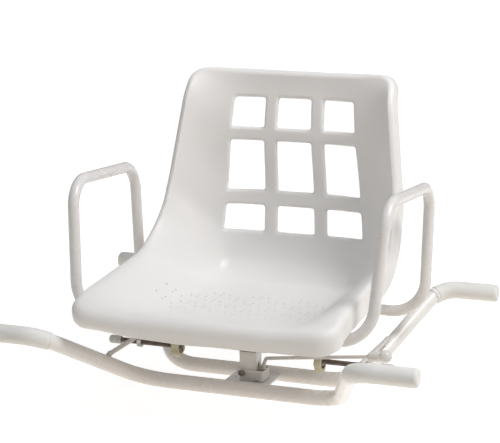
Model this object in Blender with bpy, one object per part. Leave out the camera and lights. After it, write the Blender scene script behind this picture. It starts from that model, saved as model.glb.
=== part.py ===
"""Swivel bath seat that hangs on the rims of a bath.

Two bent tubes cross the bath and carry a square post between them.  A moulded
bucket seat with two tube armrests turns on a spindle in that post, and a hand
lever under the seat locks it at every quarter turn.  Two screw adjusters push
rubber tips against the inner walls of the bath.

Metres, +Z up, +X to the sitter's left as the seat is seen from the front,
+Y towards the backrest.  The origin is on the swivel axis, at the level of
the lowest tubes.
"""

import math

import bmesh
import bpy
import numpy as np
from mathutils import Quaternion, Vector

# Fits between neighbouring pieces
WELD_GAP = 0.0003
RUNNING_GAP = 0.0003
BOLT_GAP = 0.0003

# Facets of the round pieces
FRAME_SIDES = 16
ARM_SIDES = 12
ROUND_SIDES = 24
SMALL_SIDES = 12
BEND_STEP = math.radians(15.0)
SMOOTH_ANGLE = math.radians(38.0)

# Frame tubes and their grips
FRAME_TUBE_R = 0.0127
FRAME_TUBE_WALL = 0.0015
FRAME_HALF_SPAN = 0.360
FRAME_FLAT_Y = 0.0514
FRAME_FOOT_X = 0.172
FRAME_SHOULDER_X = 0.256
FRAME_RIM_Y = 0.262
FRAME_RISE = 0.1193
FRAME_LOW_BEND = 0.070
FRAME_HIGH_BEND = 0.050
GRIP_R = 0.0150
GRIP_LENGTH = 0.125
GRIP_END_WALL = 0.004
GRIP_END_ROUND = 0.004
GRIP_END_TURNS = np.radians([30.0, 60.0, 90.0])

# Struts that join the two frame tubes and hold the adjuster nuts
STRUT_R = 0.004
STRUT_X = 0.2019
STRUT_HALF_LENGTH = 0.129
STRUT_Z = 0.072

# Base plate and square post
PLATE_HALF_LENGTH = 0.039
PLATE_THICKNESS = 0.004
PLATE_Z = 0.013
POST_SIDE = 0.030
POST_WALL = 0.002
POST_CORNER = 0.003
POST_TOP_Z = 0.066
SLOT_WIDTH = 0.006
SLOT_LOW_Z = 0.027
SLOT_HIGH_Z = 0.046

# Spindle, its bush and its index disc
SPINDLE_R = 0.010
BUSH_LOW_Z = 0.048
BUSH_FLANGE = 0.0027
BUSH_CORNER = 0.002
SHOULDER_R = 0.017
DISC_R = 0.0122
DISC_THICKNESS = 0.005
DISC_LOW_Z = 0.036
NOTCH_WIDTH = 0.005
NOTCH_FLOOR_R = 0.0075
NOTCH_COUNT = 4
DISC_SCREW_R = 0.003
DISC_SCREW_HEAD_R = 0.005
DISC_SCREW_HEAD = 0.002
DISC_SCREW_DEPTH = 0.012
GROOVE_DEPTH = 0.002
GROOVE_SLACK = 0.001
RETAINING_Z = 0.0600
RETAINING_R = 0.0025
RETAINING_HEAD_AF = 0.008
RETAINING_HEAD = 0.0035

# Locking rocker, its pivot bolt and the hand lever
PIVOT_X = -0.009
PIVOT_Z = 0.030
PIVOT_R = 0.003
PIVOT_HEAD_AF = 0.010
PIVOT_HEAD = 0.004
ROCKER_WALL = 0.002
ROCKER_SIDE_GAP = 0.0005
ROCKER_LEFT_X = -0.0175
ROCKER_RIGHT_X = 0.0288
ROCKER_LEFT_LOW_Z = 0.0232
ROCKER_LEFT_HIGH_Z = 0.0363
ROCKER_RIGHT_LOW_Z = 0.0166
ROCKER_RIGHT_HIGH_Z = 0.0351
DOG_WIDTH = 0.004
DOG_HEIGHT = 0.005
DOG_CLEARANCE = 0.0004
DOG_REACH_X = 0.0090
LEVER_R = 0.003
LEVER_BEND = 0.008
LEVER_UPRIGHT = 0.007
LEVER_FOOT_BEND = 0.006
LEVER_CORNER = (0.0300, -0.0065, 0.0560)
KNOB_CENTRE = (0.2474, -0.0460, 0.0931)
KNOB_BALL_R = 0.0105
KNOB_SLEEVE_R = 0.0080
KNOB_SLEEVE_LENGTH = 0.030
KNOB_NECK_R = 0.0050
KNOB_LAYERS = 8
KNOB_TOP_TURN = math.radians(12.0)

# Screw adjusters
SCREW_R = 0.005
SCREW_OUTER_X = 0.252
NUT_AF = 0.017
NUT_THICKNESS = 0.008
WHEEL_X = 0.1318
WHEEL_R = 0.020
WHEEL_LOBE = 0.0015
WHEEL_LOBES = 6
WHEEL_THICKNESS = 0.012
WHEEL_EDGE = 0.002
WHEEL_INNER_WALL = 0.003
RECESS_R = 0.0105
RECESS_DEPTH = 0.0045
JAM_NUT_AF = 0.016
JAM_NUT_THICKNESS = 0.004
TIP_R = 0.0072
TIP_LENGTH = 0.022
TIP_END_X = 0.259
TIP_ROUND = 0.004
TIP_TURNS = np.radians([0.0, 35.0, 65.0, 90.0])
ADJUSTER_SET = {"left": 0.0, "right": -0.009}

# Armrests
ARM_TUBE_R = 0.0095
ARM_TUBE_WALL = 0.0015
ARM_LOW_BEND = 0.060
ARM_HIGH_BEND = 0.048
ARM_INNER_X = 0.012
ARM_FRONT_LOW = (0.2500, -0.1417, 0.1390)
ARM_FRONT_HIGH = (0.2660, -0.1168, 0.3560)
ARM_REAR_HIGH = (0.2685, 0.1317, 0.3405)
ARM_REAR_LOW = (0.2609, 0.1377, 0.1180)

# Carrier plate under the seat and the bolts through it
CARRIER_THICKNESS = 0.004
CARRIER_LOW_Z = 0.085
CARRIER_HALF_WIDTH = 0.055
CARRIER_FLAT_Y = 0.072
CARRIER_PAD_HALF = 0.020
SEAT_BOLT_X = 0.040
SEAT_BOLT_R = 0.003
SEAT_BOLT_HEAD_AF = 0.010
SEAT_BOLT_HEAD = 0.004
BOSS_R = 0.009
BOSS_SKIN = 0.0015

# Seat shell: the centre line, seen from the side
SHELL_WALL = 0.0035
SEAT_Z = 0.143
SEAT_FRONT_Y = -0.222
SEAT_FRONT_LIFT = 0.031
SEAT_LIFT_START_Y = -0.030
SEAT_LIFT_POWER = 1.6
BACK_Y = 0.2245
BACK_LEAN = -0.014
BACK_FOLD = 0.075
BACK_LEVEL_Z = 0.2175
BACK_TOP_Z = 0.4985
BACK_BOW = 0.0112
BACK_BOW_Z = 0.396
BACK_BOW_HALF = 0.110

# Seat shell: the raised rim, seen from the side and from above
RIM_SEAT_Z = 0.2075
RIM_SEAT_SLOPE = 0.0775
RIM_BACK_Y = 0.140
RIM_BACK_Z = 0.302
RIM_BACK_LEAN = 0.171
RIM_FOLD = 0.150
RIM_FRONT_Z = 0.181
RIM_FRONT_RUN = 0.060
RIM_HALF_WIDTH = 0.2125
RIM_BACK_INSET = 0.009
RIM_INSET_START_Z = 0.21
RIM_TAPER = 0.134
RIM_TOP_LIFT = 0.0035
RIM_TOP_SETBACK = 0.022
RIM_TOP_RUN = 0.050
CORNER_FRONT = 0.024
CORNER_TOP = 0.020
DISH_START_SEAT = 0.53
DISH_BACK_POWER = 3.4
DISH_CHANGE_LOW_Z = 0.20
DISH_CHANGE_HIGH_Z = 0.32

# Seat shell: the rolled edge and the skirt below it
ROLL_SIDE = 0.010
ROLL_FRONT = 0.020
ROLL_TOP = 0.010
SKIRT_SIDE = 0.026
SKIRT_FOLD = 0.028
SKIRT_BACK = 0.020
SKIRT_FRONT_Z = 0.1395
SKIRT_CORNER_LIFT = 0.012
SKIRT_FRONT_RUN = 0.035

# Shares of the rim's length where the front ends, the fold and the back start
FRONT_END_SHARE = 0.30
TOP_START_SHARE = 0.70
SKIRT_FOLD_SHARE = 0.35
SKIRT_BACK_SHARE = 0.60
SKIRT_CHANGE_SHARE = 0.15

# Shell mesh
SEAT_ROWS = 14
FOLD_ROWS = 8
BACK_ROWS = 12
SHELL_COLUMNS = 28
ROW_EVENNESS = 0.3
COLUMN_EVENNESS = 0.5
ROLL_ANGLES = (30.0, 60.0, 90.0)

# Windows in the backrest: each row's upper and lower edge below the back's top, and side lines
WINDOW_ROWS = ((0.0383, 0.0912), (0.1155, 0.2055), (0.2330, 0.2805))
CENTRE_WINDOW_HALF = 0.0297
CENTRE_WINDOW_SPREAD = 0.020
SIDE_WINDOW_NEAR = 0.054
SIDE_WINDOW_NEAR_SPREAD = 0.0207
SIDE_WINDOW_FAR = 0.110
SIDE_WINDOW_FAR_SPREAD = 0.081
WINDOW_CORNER = 0.004
WINDOW_CORNER_EASE = 0.45
WINDOW_CUT_FRONT_Y = 0.150
WINDOW_CUT_BACK_Y = 0.260

SIDES = {"left": -1.0, "right": 1.0}
ENDS = {"front": -1.0, "rear": 1.0}

# Directions steeper than this take +Y as their up direction
STEEP = 0.9

FINISHES = {
    "moulded": ((0.84, 0.84, 0.83), 0.28, 0.0),
    "painted": ((0.80, 0.79, 0.78), 0.30, 0.0),
    "grip": ((0.80, 0.81, 0.77), 0.55, 0.0),
    "cream": ((0.70, 0.66, 0.50), 0.45, 0.0),
    "steel": ((0.30, 0.26, 0.22), 0.40, 0.9),
    "rubber": ((0.66, 0.67, 0.65), 0.60, 0.0),
    "bush": ((0.10, 0.10, 0.10), 0.50, 0.0),
}


# Scene and objects

def clear_scene():
    """Remove whatever the file holds, so that the part stands alone."""
    for item in list(bpy.data.objects):
        bpy.data.objects.remove(item, do_unlink=True)


def own_material(node, finish):
    """A Principled material for one piece."""
    colour, roughness, metallic = FINISHES[finish]
    material = bpy.data.materials.new(node + "_finish")
    material.use_nodes = True
    shader = material.node_tree.nodes["Principled BSDF"]
    shader.inputs["Base Color"].default_value = (*colour, 1.0)
    shader.inputs["Roughness"].default_value = roughness
    shader.inputs["Metallic"].default_value = metallic
    material.diffuse_color = (*colour, 1.0)
    return material


def axis_empty(name, place):
    """An empty on a joint's axis; the moving pieces hang from it."""
    empty = bpy.data.objects.new(name, None)
    empty.location = place
    bpy.context.scene.collection.objects.link(empty)
    return empty


def add_piece(node, bm, finish, carrier=None):
    """Turn a bmesh in world metres into a named piece under its joint's empty."""
    if carrier is not None:
        bmesh.ops.translate(bm, verts=bm.verts, vec=-carrier.location)
    mesh = bpy.data.meshes.new(node)
    bm.to_mesh(mesh)
    bm.free()
    mesh.shade_smooth()
    mesh.set_sharp_from_angle(angle=SMOOTH_ANGLE)
    piece = bpy.data.objects.new(node, mesh)
    mesh.materials.append(own_material(node, finish))
    piece.parent = carrier
    bpy.context.scene.collection.objects.link(piece)
    return piece


def add_tool(name, bm):
    """A body that only cuts or joins other pieces."""
    mesh = bpy.data.meshes.new(name)
    bm.to_mesh(mesh)
    bm.free()
    tool = bpy.data.objects.new(name, mesh)
    tool.display_type = "WIRE"
    tool.hide_render = True
    bpy.context.scene.collection.objects.link(tool)
    return tool


def apply_tool(piece, tool, operation="DIFFERENCE"):
    """Cut the tool out of a piece, or join it on."""
    step = piece.modifiers.new(tool.name, "BOOLEAN")
    step.operation = operation
    step.solver = "EXACT"
    step.object = tool


# Outlines, as points of a closed section

def round_outline(radius, sides, touching=False):
    """A regular section with one flat side down; touching puts its flats on the radius."""
    reach = radius / math.cos(math.pi / sides) if touching else radius
    turns = (np.arange(sides) + 0.5) * 2.0 * math.pi / sides - math.pi / 2.0
    return np.stack([reach * np.cos(turns), reach * np.sin(turns)], axis=1)


def lobed_outline(radius, lobe, lobes, phase):
    """A hand wheel's wavy rim; the phase puts a lobe (-1) or a dip (+1) at the bottom."""
    turns = (np.arange(ROUND_SIDES) + 0.5) * 2.0 * math.pi / ROUND_SIDES - math.pi / 2.0
    reach = radius - lobe - phase * lobe * np.cos(lobes * (turns + math.pi / 2.0))
    return np.stack([reach * np.cos(turns), reach * np.sin(turns)], axis=1)


def hexagon_outline(across_flats):
    """A hexagon given by twelve points, so that it joins a twelve-sided circle."""
    turns = (np.arange(SMALL_SIDES) + 0.5) * 2.0 * math.pi / SMALL_SIDES - math.pi / 2.0
    off_flat = (turns + math.pi / 6.0) % (math.pi / 3.0) - math.pi / 6.0
    reach = across_flats / 2.0 / np.cos(off_flat)
    return np.stack([reach * np.cos(turns), reach * np.sin(turns)], axis=1)


def box_outline(width, depth, corner=0.0, steps=3):
    """A rectangle, with rounded corners where a corner radius is given."""
    if corner == 0.0:
        return np.array([(-width, -depth), (width, -depth), (width, depth), (-width, depth)]) / 2.0
    points = []
    for quarter, (sx, sy) in enumerate(((1, -1), (1, 1), (-1, 1), (-1, -1))):
        centre = (sx * (width / 2.0 - corner), sy * (depth / 2.0 - corner))
        for k in range(steps + 1):
            turn = math.pi / 2.0 * (quarter - 1 + k / steps)
            points.append((centre[0] + corner * math.cos(turn), centre[1] + corner * math.sin(turn)))
    return np.array(points)


# Solids made of rings

def add_loft(bm, rings, closed=False):
    """Skin a row of rings; the ends are capped, or joined to each other for a wall."""
    rows = [[bm.verts.new(point) for point in ring] for ring in rings]
    pairs = list(zip(rows, rows[1:]))
    if closed:
        pairs.append((rows[-1], rows[0]))
    else:
        bm.faces.new(list(reversed(rows[0])))
        bm.faces.new(rows[-1])
    for low, high in pairs:
        for k in range(len(low)):
            after = (k + 1) % len(low)
            bm.faces.new((low[k], low[after], high[after], high[k]))
    bmesh.ops.recalc_face_normals(bm, faces=bm.faces)


def loft(rings, closed=False):
    """One closed body from a row of rings."""
    bm = bmesh.new()
    add_loft(bm, rings, closed)
    return bm


def stacked(base, direction, up, layers):
    """Rings on a straight axis: each layer is a distance along it and an outline."""
    along = Vector(direction).normalized()
    side = along.cross(Vector(up)).normalized()
    rise = side.cross(along)
    place = np.array([np.array(Vector(base) + along * distance) for distance, _ in layers])
    return [
        centre + outline[:, :1] * np.array(side) + outline[:, 1:] * np.array(rise)
        for centre, (_, outline) in zip(place, layers)
    ]


def bent_route(corners, bends):
    """A route through corner points, with each inner corner turned into an arc."""
    points = [Vector(corners[0])]
    for before, corner, after, radius in zip(corners, corners[1:], corners[2:], bends):
        corner = Vector(corner)
        back = (Vector(before) - corner).normalized()
        ahead = (Vector(after) - corner).normalized()
        turn = math.pi - back.angle(ahead)
        start = corner + back * radius * math.tan(turn / 2.0)
        centre = corner + (back + ahead).normalized() * radius / math.cos(turn / 2.0)
        axis = (-back).cross(ahead).normalized()
        steps = max(2, math.ceil(turn / BEND_STEP))
        for k in range(steps + 1):
            points.append(centre + Quaternion(axis, turn * k / steps) @ (start - centre))
    points.append(Vector(corners[-1]))
    return points


def tail_of(points, length):
    """The last stretch of a route, of a given length."""
    kept = [points[-1]]
    for point in reversed(points[:-1]):
        step = (point - kept[0]).length
        if step >= length:
            kept.insert(0, kept[0].lerp(point, length / step))
            return kept
        kept.insert(0, point)
        length -= step
    return kept


def swept_rings(points, up, outlines):
    """Rings of a section carried along a route without twist."""
    steps = [(after - before).normalized() for before, after in zip(points, points[1:])]
    tangents = [steps[0]]
    tangents += [(a + b).normalized() for a, b in zip(steps, steps[1:])]
    tangents.append(steps[-1])
    rise = Vector(up)
    rise = (rise - rise.dot(tangents[0]) * tangents[0]).normalized()
    rings = []
    for k, (point, tangent) in enumerate(zip(points, tangents)):
        if k:
            rise = tangents[k - 1].rotation_difference(tangent) @ rise
        side = tangent.cross(rise)
        outline = outlines[k] if isinstance(outlines, list) else outlines
        rings.append(np.array(point) + outline[:, :1] * np.array(side) + outline[:, 1:] * np.array(rise))
    return rings


def tube_body(points, up, radius, wall, sides, touching=False):
    """An open-ended tube: an outer skin and a bore, joined at both ends."""
    outer = swept_rings(points, up, round_outline(radius, sides, touching))
    bore = swept_rings(points, up, round_outline(radius - wall, sides, touching))
    return loft(outer + bore[::-1], closed=True)


def box_body(low, high):
    """A plain block between two corners."""
    size = np.array(high) - np.array(low)
    outline = box_outline(size[0], size[1])
    middle = (np.array(high) + np.array(low)) / 2.0
    base = (middle[0], middle[1], low[2])
    return loft(stacked(base, (0, 0, 1), (0, 1, 0), [(0.0, outline), (size[2], outline)]))


def merged(bodies):
    """Several separate bodies in one bmesh, for one cutter."""
    whole = bmesh.new()
    for body in bodies:
        mesh = bpy.data.meshes.new("body")
        body.to_mesh(mesh)
        body.free()
        whole.from_mesh(mesh)
        bpy.data.meshes.remove(mesh)
    return whole


def up_for(direction):
    """An up direction that is square enough to a bar's own direction."""
    return (0, 1, 0) if abs(Vector(direction).normalized().z) > STEEP else (0, 0, 1)


def round_body(base, direction, length, radius, sides=SMALL_SIDES, touching=True):
    """A plain round bar, or the cutter of a round hole."""
    outline = round_outline(radius, sides, touching)
    return loft(stacked(base, direction, up_for(direction), [(0.0, outline), (length, outline)]))


def bolt_body(under_head, direction, length, radius, head_af, head):
    """A hexagon bolt; its shank runs along the direction from under the head."""
    hexagon = hexagon_outline(head_af)
    shank = round_outline(radius, SMALL_SIDES)
    layers = [(-head, hexagon), (0.0, hexagon), (0.0, shank), (length, shank)]
    return loft(stacked(under_head, direction, up_for(direction), layers))


def nut_body(middle, direction, across_flats, thickness, bore_r):
    """A hexagon nut with a clear bore."""
    hexagon = hexagon_outline(across_flats)
    bore = round_outline(bore_r, SMALL_SIDES, touching=True)
    half = thickness / 2.0
    layers = [(-half, hexagon), (half, hexagon), (half, bore), (-half, bore)]
    return loft(stacked(middle, direction, (0, 0, 1), layers), closed=True)


# Frame

def frame_route(end):
    """The bent route of a frame tube; end is -1 at the front and +1 at the rear."""
    low = FRAME_TUBE_R
    flat_y = end * FRAME_FLAT_Y
    rim_y = end * FRAME_RIM_Y
    reach = FRAME_HALF_SPAN - GRIP_END_WALL - WELD_GAP
    corners = [
        (-reach, rim_y, low + FRAME_RISE),
        (-FRAME_SHOULDER_X, rim_y, low + FRAME_RISE),
        (-FRAME_FOOT_X, flat_y, low),
        (FRAME_FOOT_X, flat_y, low),
        (FRAME_SHOULDER_X, rim_y, low + FRAME_RISE),
        (reach, rim_y, low + FRAME_RISE),
    ]
    return bent_route(corners, [FRAME_HIGH_BEND, FRAME_LOW_BEND, FRAME_LOW_BEND, FRAME_HIGH_BEND])


def make_frame_tubes():
    """The two long tubes that cross the bath."""
    for end_name, end in ENDS.items():
        body = tube_body(frame_route(end), (0, 0, 1), FRAME_TUBE_R, FRAME_TUBE_WALL, FRAME_SIDES, True)
        add_piece(end_name + "_frame_tube", body, "painted")


def make_grip(end_name, side_name):
    """A blind sleeve over the end of a frame tube, with a rounded end.

    Its rings start at the closed end, where the tube is level, so that one flat
    side of the sleeve faces straight down on the rim of the bath.
    """
    route = frame_route(ENDS[end_name])
    if side_name == "left":
        route = route[::-1]
    covered = tail_of(route, GRIP_LENGTH)
    bore = round_outline(FRAME_TUBE_R + WELD_GAP, FRAME_SIDES, True)
    outer = round_outline(GRIP_R, FRAME_SIDES, True)
    outward = (covered[-1] - covered[-2]).normalized()
    inner_end = covered[:-1] + [covered[-1] + outward * WELD_GAP]
    outer_end = covered[-1] + outward * (WELD_GAP + GRIP_END_WALL)
    skin = covered[:-1] + [outer_end - outward * GRIP_END_ROUND]
    rings = swept_rings(inner_end[::-1], (0, 0, 1), bore)
    rings += swept_rings(skin[::-1], (0, 0, 1), outer)[::-1]
    dome = []
    for turn in GRIP_END_TURNS:
        end_r = GRIP_R - GRIP_END_ROUND * (1.0 - math.cos(turn))
        dome.append((-GRIP_END_ROUND * math.sin(turn), round_outline(end_r, FRAME_SIDES, True)))
    rings += stacked(skin[-1], -outward, (0, 0, 1), dome)
    add_piece(end_name + "_" + side_name + "_grip", loft(rings), "grip")


def make_struts():
    """Round bars welded on top of the sloping tubes; the tubes notch their ends."""
    outline = round_outline(FRAME_TUBE_R + WELD_GAP, FRAME_SIDES, True)
    notches = merged(loft(swept_rings(frame_route(end), (0, 0, 1), outline)) for end in ENDS.values())
    tool = add_tool("strut_notches", notches)
    for side_name, side in SIDES.items():
        start = (side * STRUT_X, -STRUT_HALF_LENGTH, STRUT_Z)
        bar = round_body(start, (0, 1, 0), 2.0 * STRUT_HALF_LENGTH, STRUT_R)
        apply_tool(add_piece(side_name + "_strut", bar, "painted"), tool)


def adjuster_z():
    """Height of the adjuster screws: their nuts hang under the struts."""
    return STRUT_Z - STRUT_R - WELD_GAP - NUT_AF / 2.0


def make_screw_nuts():
    """Welded nuts that the adjuster screws run through."""
    for side_name, side in SIDES.items():
        middle = (side * STRUT_X, 0.0, adjuster_z())
        body = nut_body(middle, (side, 0, 0), NUT_AF, NUT_THICKNESS, SCREW_R + RUNNING_GAP)
        add_piece(side_name + "_screw_nut", body, "painted")


def plate_top_z():
    """Upper face of the base plate."""
    return PLATE_Z + PLATE_THICKNESS / 2.0


def make_base_plate():
    """The plate welded between the two tubes, under the post."""
    half_y = FRAME_FLAT_Y - FRAME_TUBE_R - WELD_GAP
    low = (-PLATE_HALF_LENGTH, -half_y, PLATE_Z - PLATE_THICKNESS / 2.0)
    high = (PLATE_HALF_LENGTH, half_y, plate_top_z())
    add_piece("base_plate", box_body(low, high), "painted")


def make_post():
    """A square tube on the base plate, with a slot for the locking dog."""
    base_z = plate_top_z() + WELD_GAP
    inner_side = POST_SIDE - 2.0 * POST_WALL
    outer = box_outline(POST_SIDE, POST_SIDE, POST_CORNER)
    inner = box_outline(inner_side, inner_side, POST_CORNER - POST_WALL)
    height = POST_TOP_Z - base_z
    layers = [(0.0, outer), (height, outer), (height, inner), (0.0, inner)]
    body = loft(stacked((0.0, 0.0, base_z), (0, 0, 1), (0, 1, 0), layers), closed=True)
    post = add_piece("swivel_post", body, "painted")
    outside = POST_SIDE
    slot = box_body((0.0, -SLOT_WIDTH / 2.0, SLOT_LOW_Z), (outside, SLOT_WIDTH / 2.0, SLOT_HIGH_Z))
    pivot_hole = round_body((PIVOT_X, -outside, PIVOT_Z), (0, 1, 0), 2.0 * outside, PIVOT_R + BOLT_GAP)
    screw_hole = round_body((-outside, 0.0, RETAINING_Z), (1, 0, 0), outside, RETAINING_R + BOLT_GAP)
    apply_tool(post, add_tool("post_holes", merged([slot, pivot_hole, screw_hole])))


def make_bush():
    """The square plastic bush in the post's mouth; the seat turns on its flange."""
    body_side = POST_SIDE - 2.0 * POST_WALL - 2.0 * WELD_GAP
    inner = box_outline(body_side, body_side, BUSH_CORNER)
    flange = box_outline(POST_SIDE, POST_SIDE, BUSH_CORNER)
    depth = POST_TOP_Z + WELD_GAP - BUSH_LOW_Z
    height = depth + BUSH_FLANGE
    layers = [(0.0, inner), (depth, inner), (depth, flange), (height, flange)]
    body = loft(stacked((0.0, 0.0, BUSH_LOW_Z), (0, 0, 1), (0, 1, 0), layers))
    bush = add_piece("bearing_bush", body, "bush")
    below = (0.0, 0.0, BUSH_LOW_Z - height)
    bore = round_body(below, (0, 0, 1), 3.0 * height, SPINDLE_R + RUNNING_GAP, ROUND_SIDES)
    hole = round_body((-POST_SIDE, 0.0, RETAINING_Z), (1, 0, 0), POST_SIDE, RETAINING_R + BOLT_GAP)
    apply_tool(bush, add_tool("bush_bore", bore))
    apply_tool(bush, add_tool("bush_screw_hole", hole))


def make_retaining_bolt():
    """A bolt through the post and the bush, whose tip runs in the spindle's groove."""
    under_head = -POST_SIDE / 2.0 - WELD_GAP
    tip = -SPINDLE_R + GROOVE_DEPTH - RUNNING_GAP
    body = bolt_body(
        (under_head, 0.0, RETAINING_Z), (1, 0, 0), tip - under_head,
        RETAINING_R, RETAINING_HEAD_AF, RETAINING_HEAD,
    )
    add_piece("post_retaining_bolt", body, "steel")


def rocker_outer_half():
    """Half the width of the rocker over its two flanges."""
    return POST_SIDE / 2.0 + ROCKER_SIDE_GAP + ROCKER_WALL


def make_pivot_bolt():
    """The bolt that the rocker tips on, across the post; its head is at the front."""
    under_head = -rocker_outer_half() - WELD_GAP
    length = 2.0 * -under_head + PIVOT_HEAD
    body = bolt_body((PIVOT_X, under_head, PIVOT_Z), (0, 1, 0), length, PIVOT_R, PIVOT_HEAD_AF, PIVOT_HEAD)
    add_piece("rocker_pivot_bolt", body, "steel")
    middle = (PIVOT_X, -under_head + PIVOT_HEAD / 2.0, PIVOT_Z)
    nut = nut_body(middle, (0, 1, 0), PIVOT_HEAD_AF, PIVOT_HEAD, PIVOT_R + BOLT_GAP)
    add_piece("rocker_pivot_nut", nut, "steel")


def make_frame():
    """Everything that stays still on the bath."""
    make_frame_tubes()
    for end_name in ENDS:
        for side_name in SIDES:
            make_grip(end_name, side_name)
    make_struts()
    make_screw_nuts()
    make_base_plate()
    make_post()
    make_bush()
    make_retaining_bolt()
    make_pivot_bolt()


# Locking lever

def make_rocker(axis):
    """The channel around the post, with the dog that enters the index disc."""
    outer_half = rocker_outer_half()
    profile = [
        (ROCKER_LEFT_X, ROCKER_LEFT_LOW_Z), (ROCKER_RIGHT_X, ROCKER_RIGHT_LOW_Z),
        (ROCKER_RIGHT_X, ROCKER_RIGHT_HIGH_Z), (ROCKER_LEFT_X, ROCKER_LEFT_HIGH_Z),
    ]
    rings = [np.array([(x, y, z) for x, z in profile]) for y in (-outer_half, outer_half)]
    rocker = add_piece("lock_rocker", loft(rings), "painted", axis)
    inner_half = outer_half - ROCKER_WALL
    web_x = ROCKER_RIGHT_X - ROCKER_WALL
    channel = box_body((2.0 * ROCKER_LEFT_X, -inner_half, 0.0), (web_x, inner_half, POST_TOP_Z))
    hole = round_body((PIVOT_X, -POST_SIDE, PIVOT_Z), (0, 1, 0), 2.0 * POST_SIDE, PIVOT_R + BOLT_GAP)
    apply_tool(rocker, add_tool("rocker_channel", channel))
    apply_tool(rocker, add_tool("rocker_pivot_hole", hole))
    in_web_x = ROCKER_RIGHT_X - ROCKER_WALL / 2.0
    dog = box_body(
        (DOG_REACH_X, -DOG_WIDTH / 2.0, dog_top_z() - DOG_HEIGHT), (in_web_x, DOG_WIDTH / 2.0, dog_top_z())
    )
    apply_tool(rocker, add_tool("rocker_dog", dog), "UNION")


def dog_top_z():
    """Upper face of the dog, just clear of the index disc while the seat is free."""
    return DISC_LOW_Z - DOG_CLEARANCE


def lever_foot():
    """Where the lever rod stands on the dog, against the rocker's end web."""
    return (ROCKER_RIGHT_X - ROCKER_WALL - WELD_GAP - LEVER_R, 0.0, dog_top_z() + WELD_GAP)


def lever_direction():
    """Direction of the lever's long straight run, towards the knob."""
    return (Vector(KNOB_CENTRE) - Vector(LEVER_CORNER)).normalized()


def make_lever(axis):
    """The hand lever: a bent rod and the knob pushed on its end."""
    along = lever_direction()
    rod_end = Vector(KNOB_CENTRE) - along * WELD_GAP
    foot = Vector(lever_foot())
    upright = foot + Vector((0.0, 0.0, LEVER_UPRIGHT))
    route = bent_route([foot, upright, LEVER_CORNER, rod_end], [LEVER_FOOT_BEND, LEVER_BEND])
    rings = swept_rings(route, (0, -1, 0), round_outline(LEVER_R, SMALL_SIDES))
    add_piece("lever_rod", loft(rings), "painted", axis)

    bore = round_outline(LEVER_R + WELD_GAP, SMALL_SIDES, True)
    neck_x = -KNOB_SLEEVE_LENGTH
    layers = [(0.0, bore), (neck_x, bore), (neck_x, round_outline(KNOB_NECK_R, SMALL_SIDES))]
    sleeve = round_outline(KNOB_SLEEVE_R, SMALL_SIDES)
    join_turn = math.asin(KNOB_SLEEVE_R / KNOB_BALL_R)
    join_x = -KNOB_BALL_R * math.cos(join_turn)
    layers += [(neck_x + KNOB_SLEEVE_R - KNOB_NECK_R, sleeve), (join_x, sleeve)]
    for turn in np.linspace(math.pi - join_turn, KNOB_TOP_TURN, KNOB_LAYERS)[1:]:
        ball = round_outline(KNOB_BALL_R * math.sin(turn), SMALL_SIDES)
        layers.append((KNOB_BALL_R * math.cos(turn), ball))
    add_piece("lever_knob", loft(stacked(KNOB_CENTRE, along, (0, 0, 1), layers)), "grip", axis)


# Screw adjusters

def make_adjuster(side_name):
    """One adjuster: the tip slides, and the screw with its wheel turns in it."""
    side = SIDES[side_name]
    start = (side * ADJUSTER_SET[side_name], 0.0, adjuster_z())
    slide = axis_empty(side_name + "_tip_slide", start)
    spin = axis_empty(side_name + "_screw_axis", start)
    outward = (side, 0, 0)
    up = (0, 0, 1)
    inner_face = WHEEL_X - WHEEL_THICKNESS / 2.0
    outer_face = WHEEL_X + WHEEL_THICKNESS / 2.0
    screw_start = inner_face + WHEEL_INNER_WALL

    clear_bore = round_outline(SCREW_R + RUNNING_GAP, SMALL_SIDES, True)
    tip = round_outline(TIP_R, SMALL_SIDES, True)
    tip_start = TIP_END_X - TIP_LENGTH
    layers = [(SCREW_OUTER_X + RUNNING_GAP, clear_bore), (tip_start, clear_bore), (tip_start, tip)]
    for turn in TIP_TURNS:
        end_r = TIP_R - TIP_ROUND * (1.0 - math.cos(turn))
        place = TIP_END_X - TIP_ROUND * (1.0 - math.sin(turn))
        layers.append((place, round_outline(end_r, SMALL_SIDES, True)))
    rings = stacked(start, outward, up, layers)
    add_piece(side_name + "_rubber_tip", loft(rings), "rubber", slide)

    screw = round_outline(SCREW_R, SMALL_SIDES)
    rings = stacked(start, outward, up, [(screw_start, screw), (SCREW_OUTER_X, screw)])
    add_piece(side_name + "_adjuster_screw", loft(rings), "steel", spin)

    recess_floor = outer_face - RECESS_DEPTH
    full = lobed_outline(WHEEL_R, WHEEL_LOBE, WHEEL_LOBES, side)
    eased = full * (1.0 - WHEEL_EDGE / WHEEL_R)
    recess = round_outline(RECESS_R, ROUND_SIDES)
    bore = round_outline(SCREW_R + WELD_GAP, ROUND_SIDES, True)
    layers = [
        (inner_face, eased), (inner_face + WHEEL_EDGE, full), (outer_face - WHEEL_EDGE, full),
        (outer_face, eased), (outer_face, recess), (recess_floor, recess), (recess_floor, bore),
        (screw_start - WELD_GAP, bore),
    ]
    rings = stacked(start, outward, up, layers)
    add_piece(side_name + "_hand_wheel", loft(rings), "cream", spin)

    nut_x = recess_floor + WELD_GAP + JAM_NUT_THICKNESS / 2.0
    middle = Vector(start) + side * Vector((nut_x, 0.0, 0.0))
    nut = nut_body(middle, outward, JAM_NUT_AF, JAM_NUT_THICKNESS, SCREW_R + WELD_GAP)
    add_piece(side_name + "_jam_nut", nut, "steel", spin)


# Swivelling seat

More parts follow.
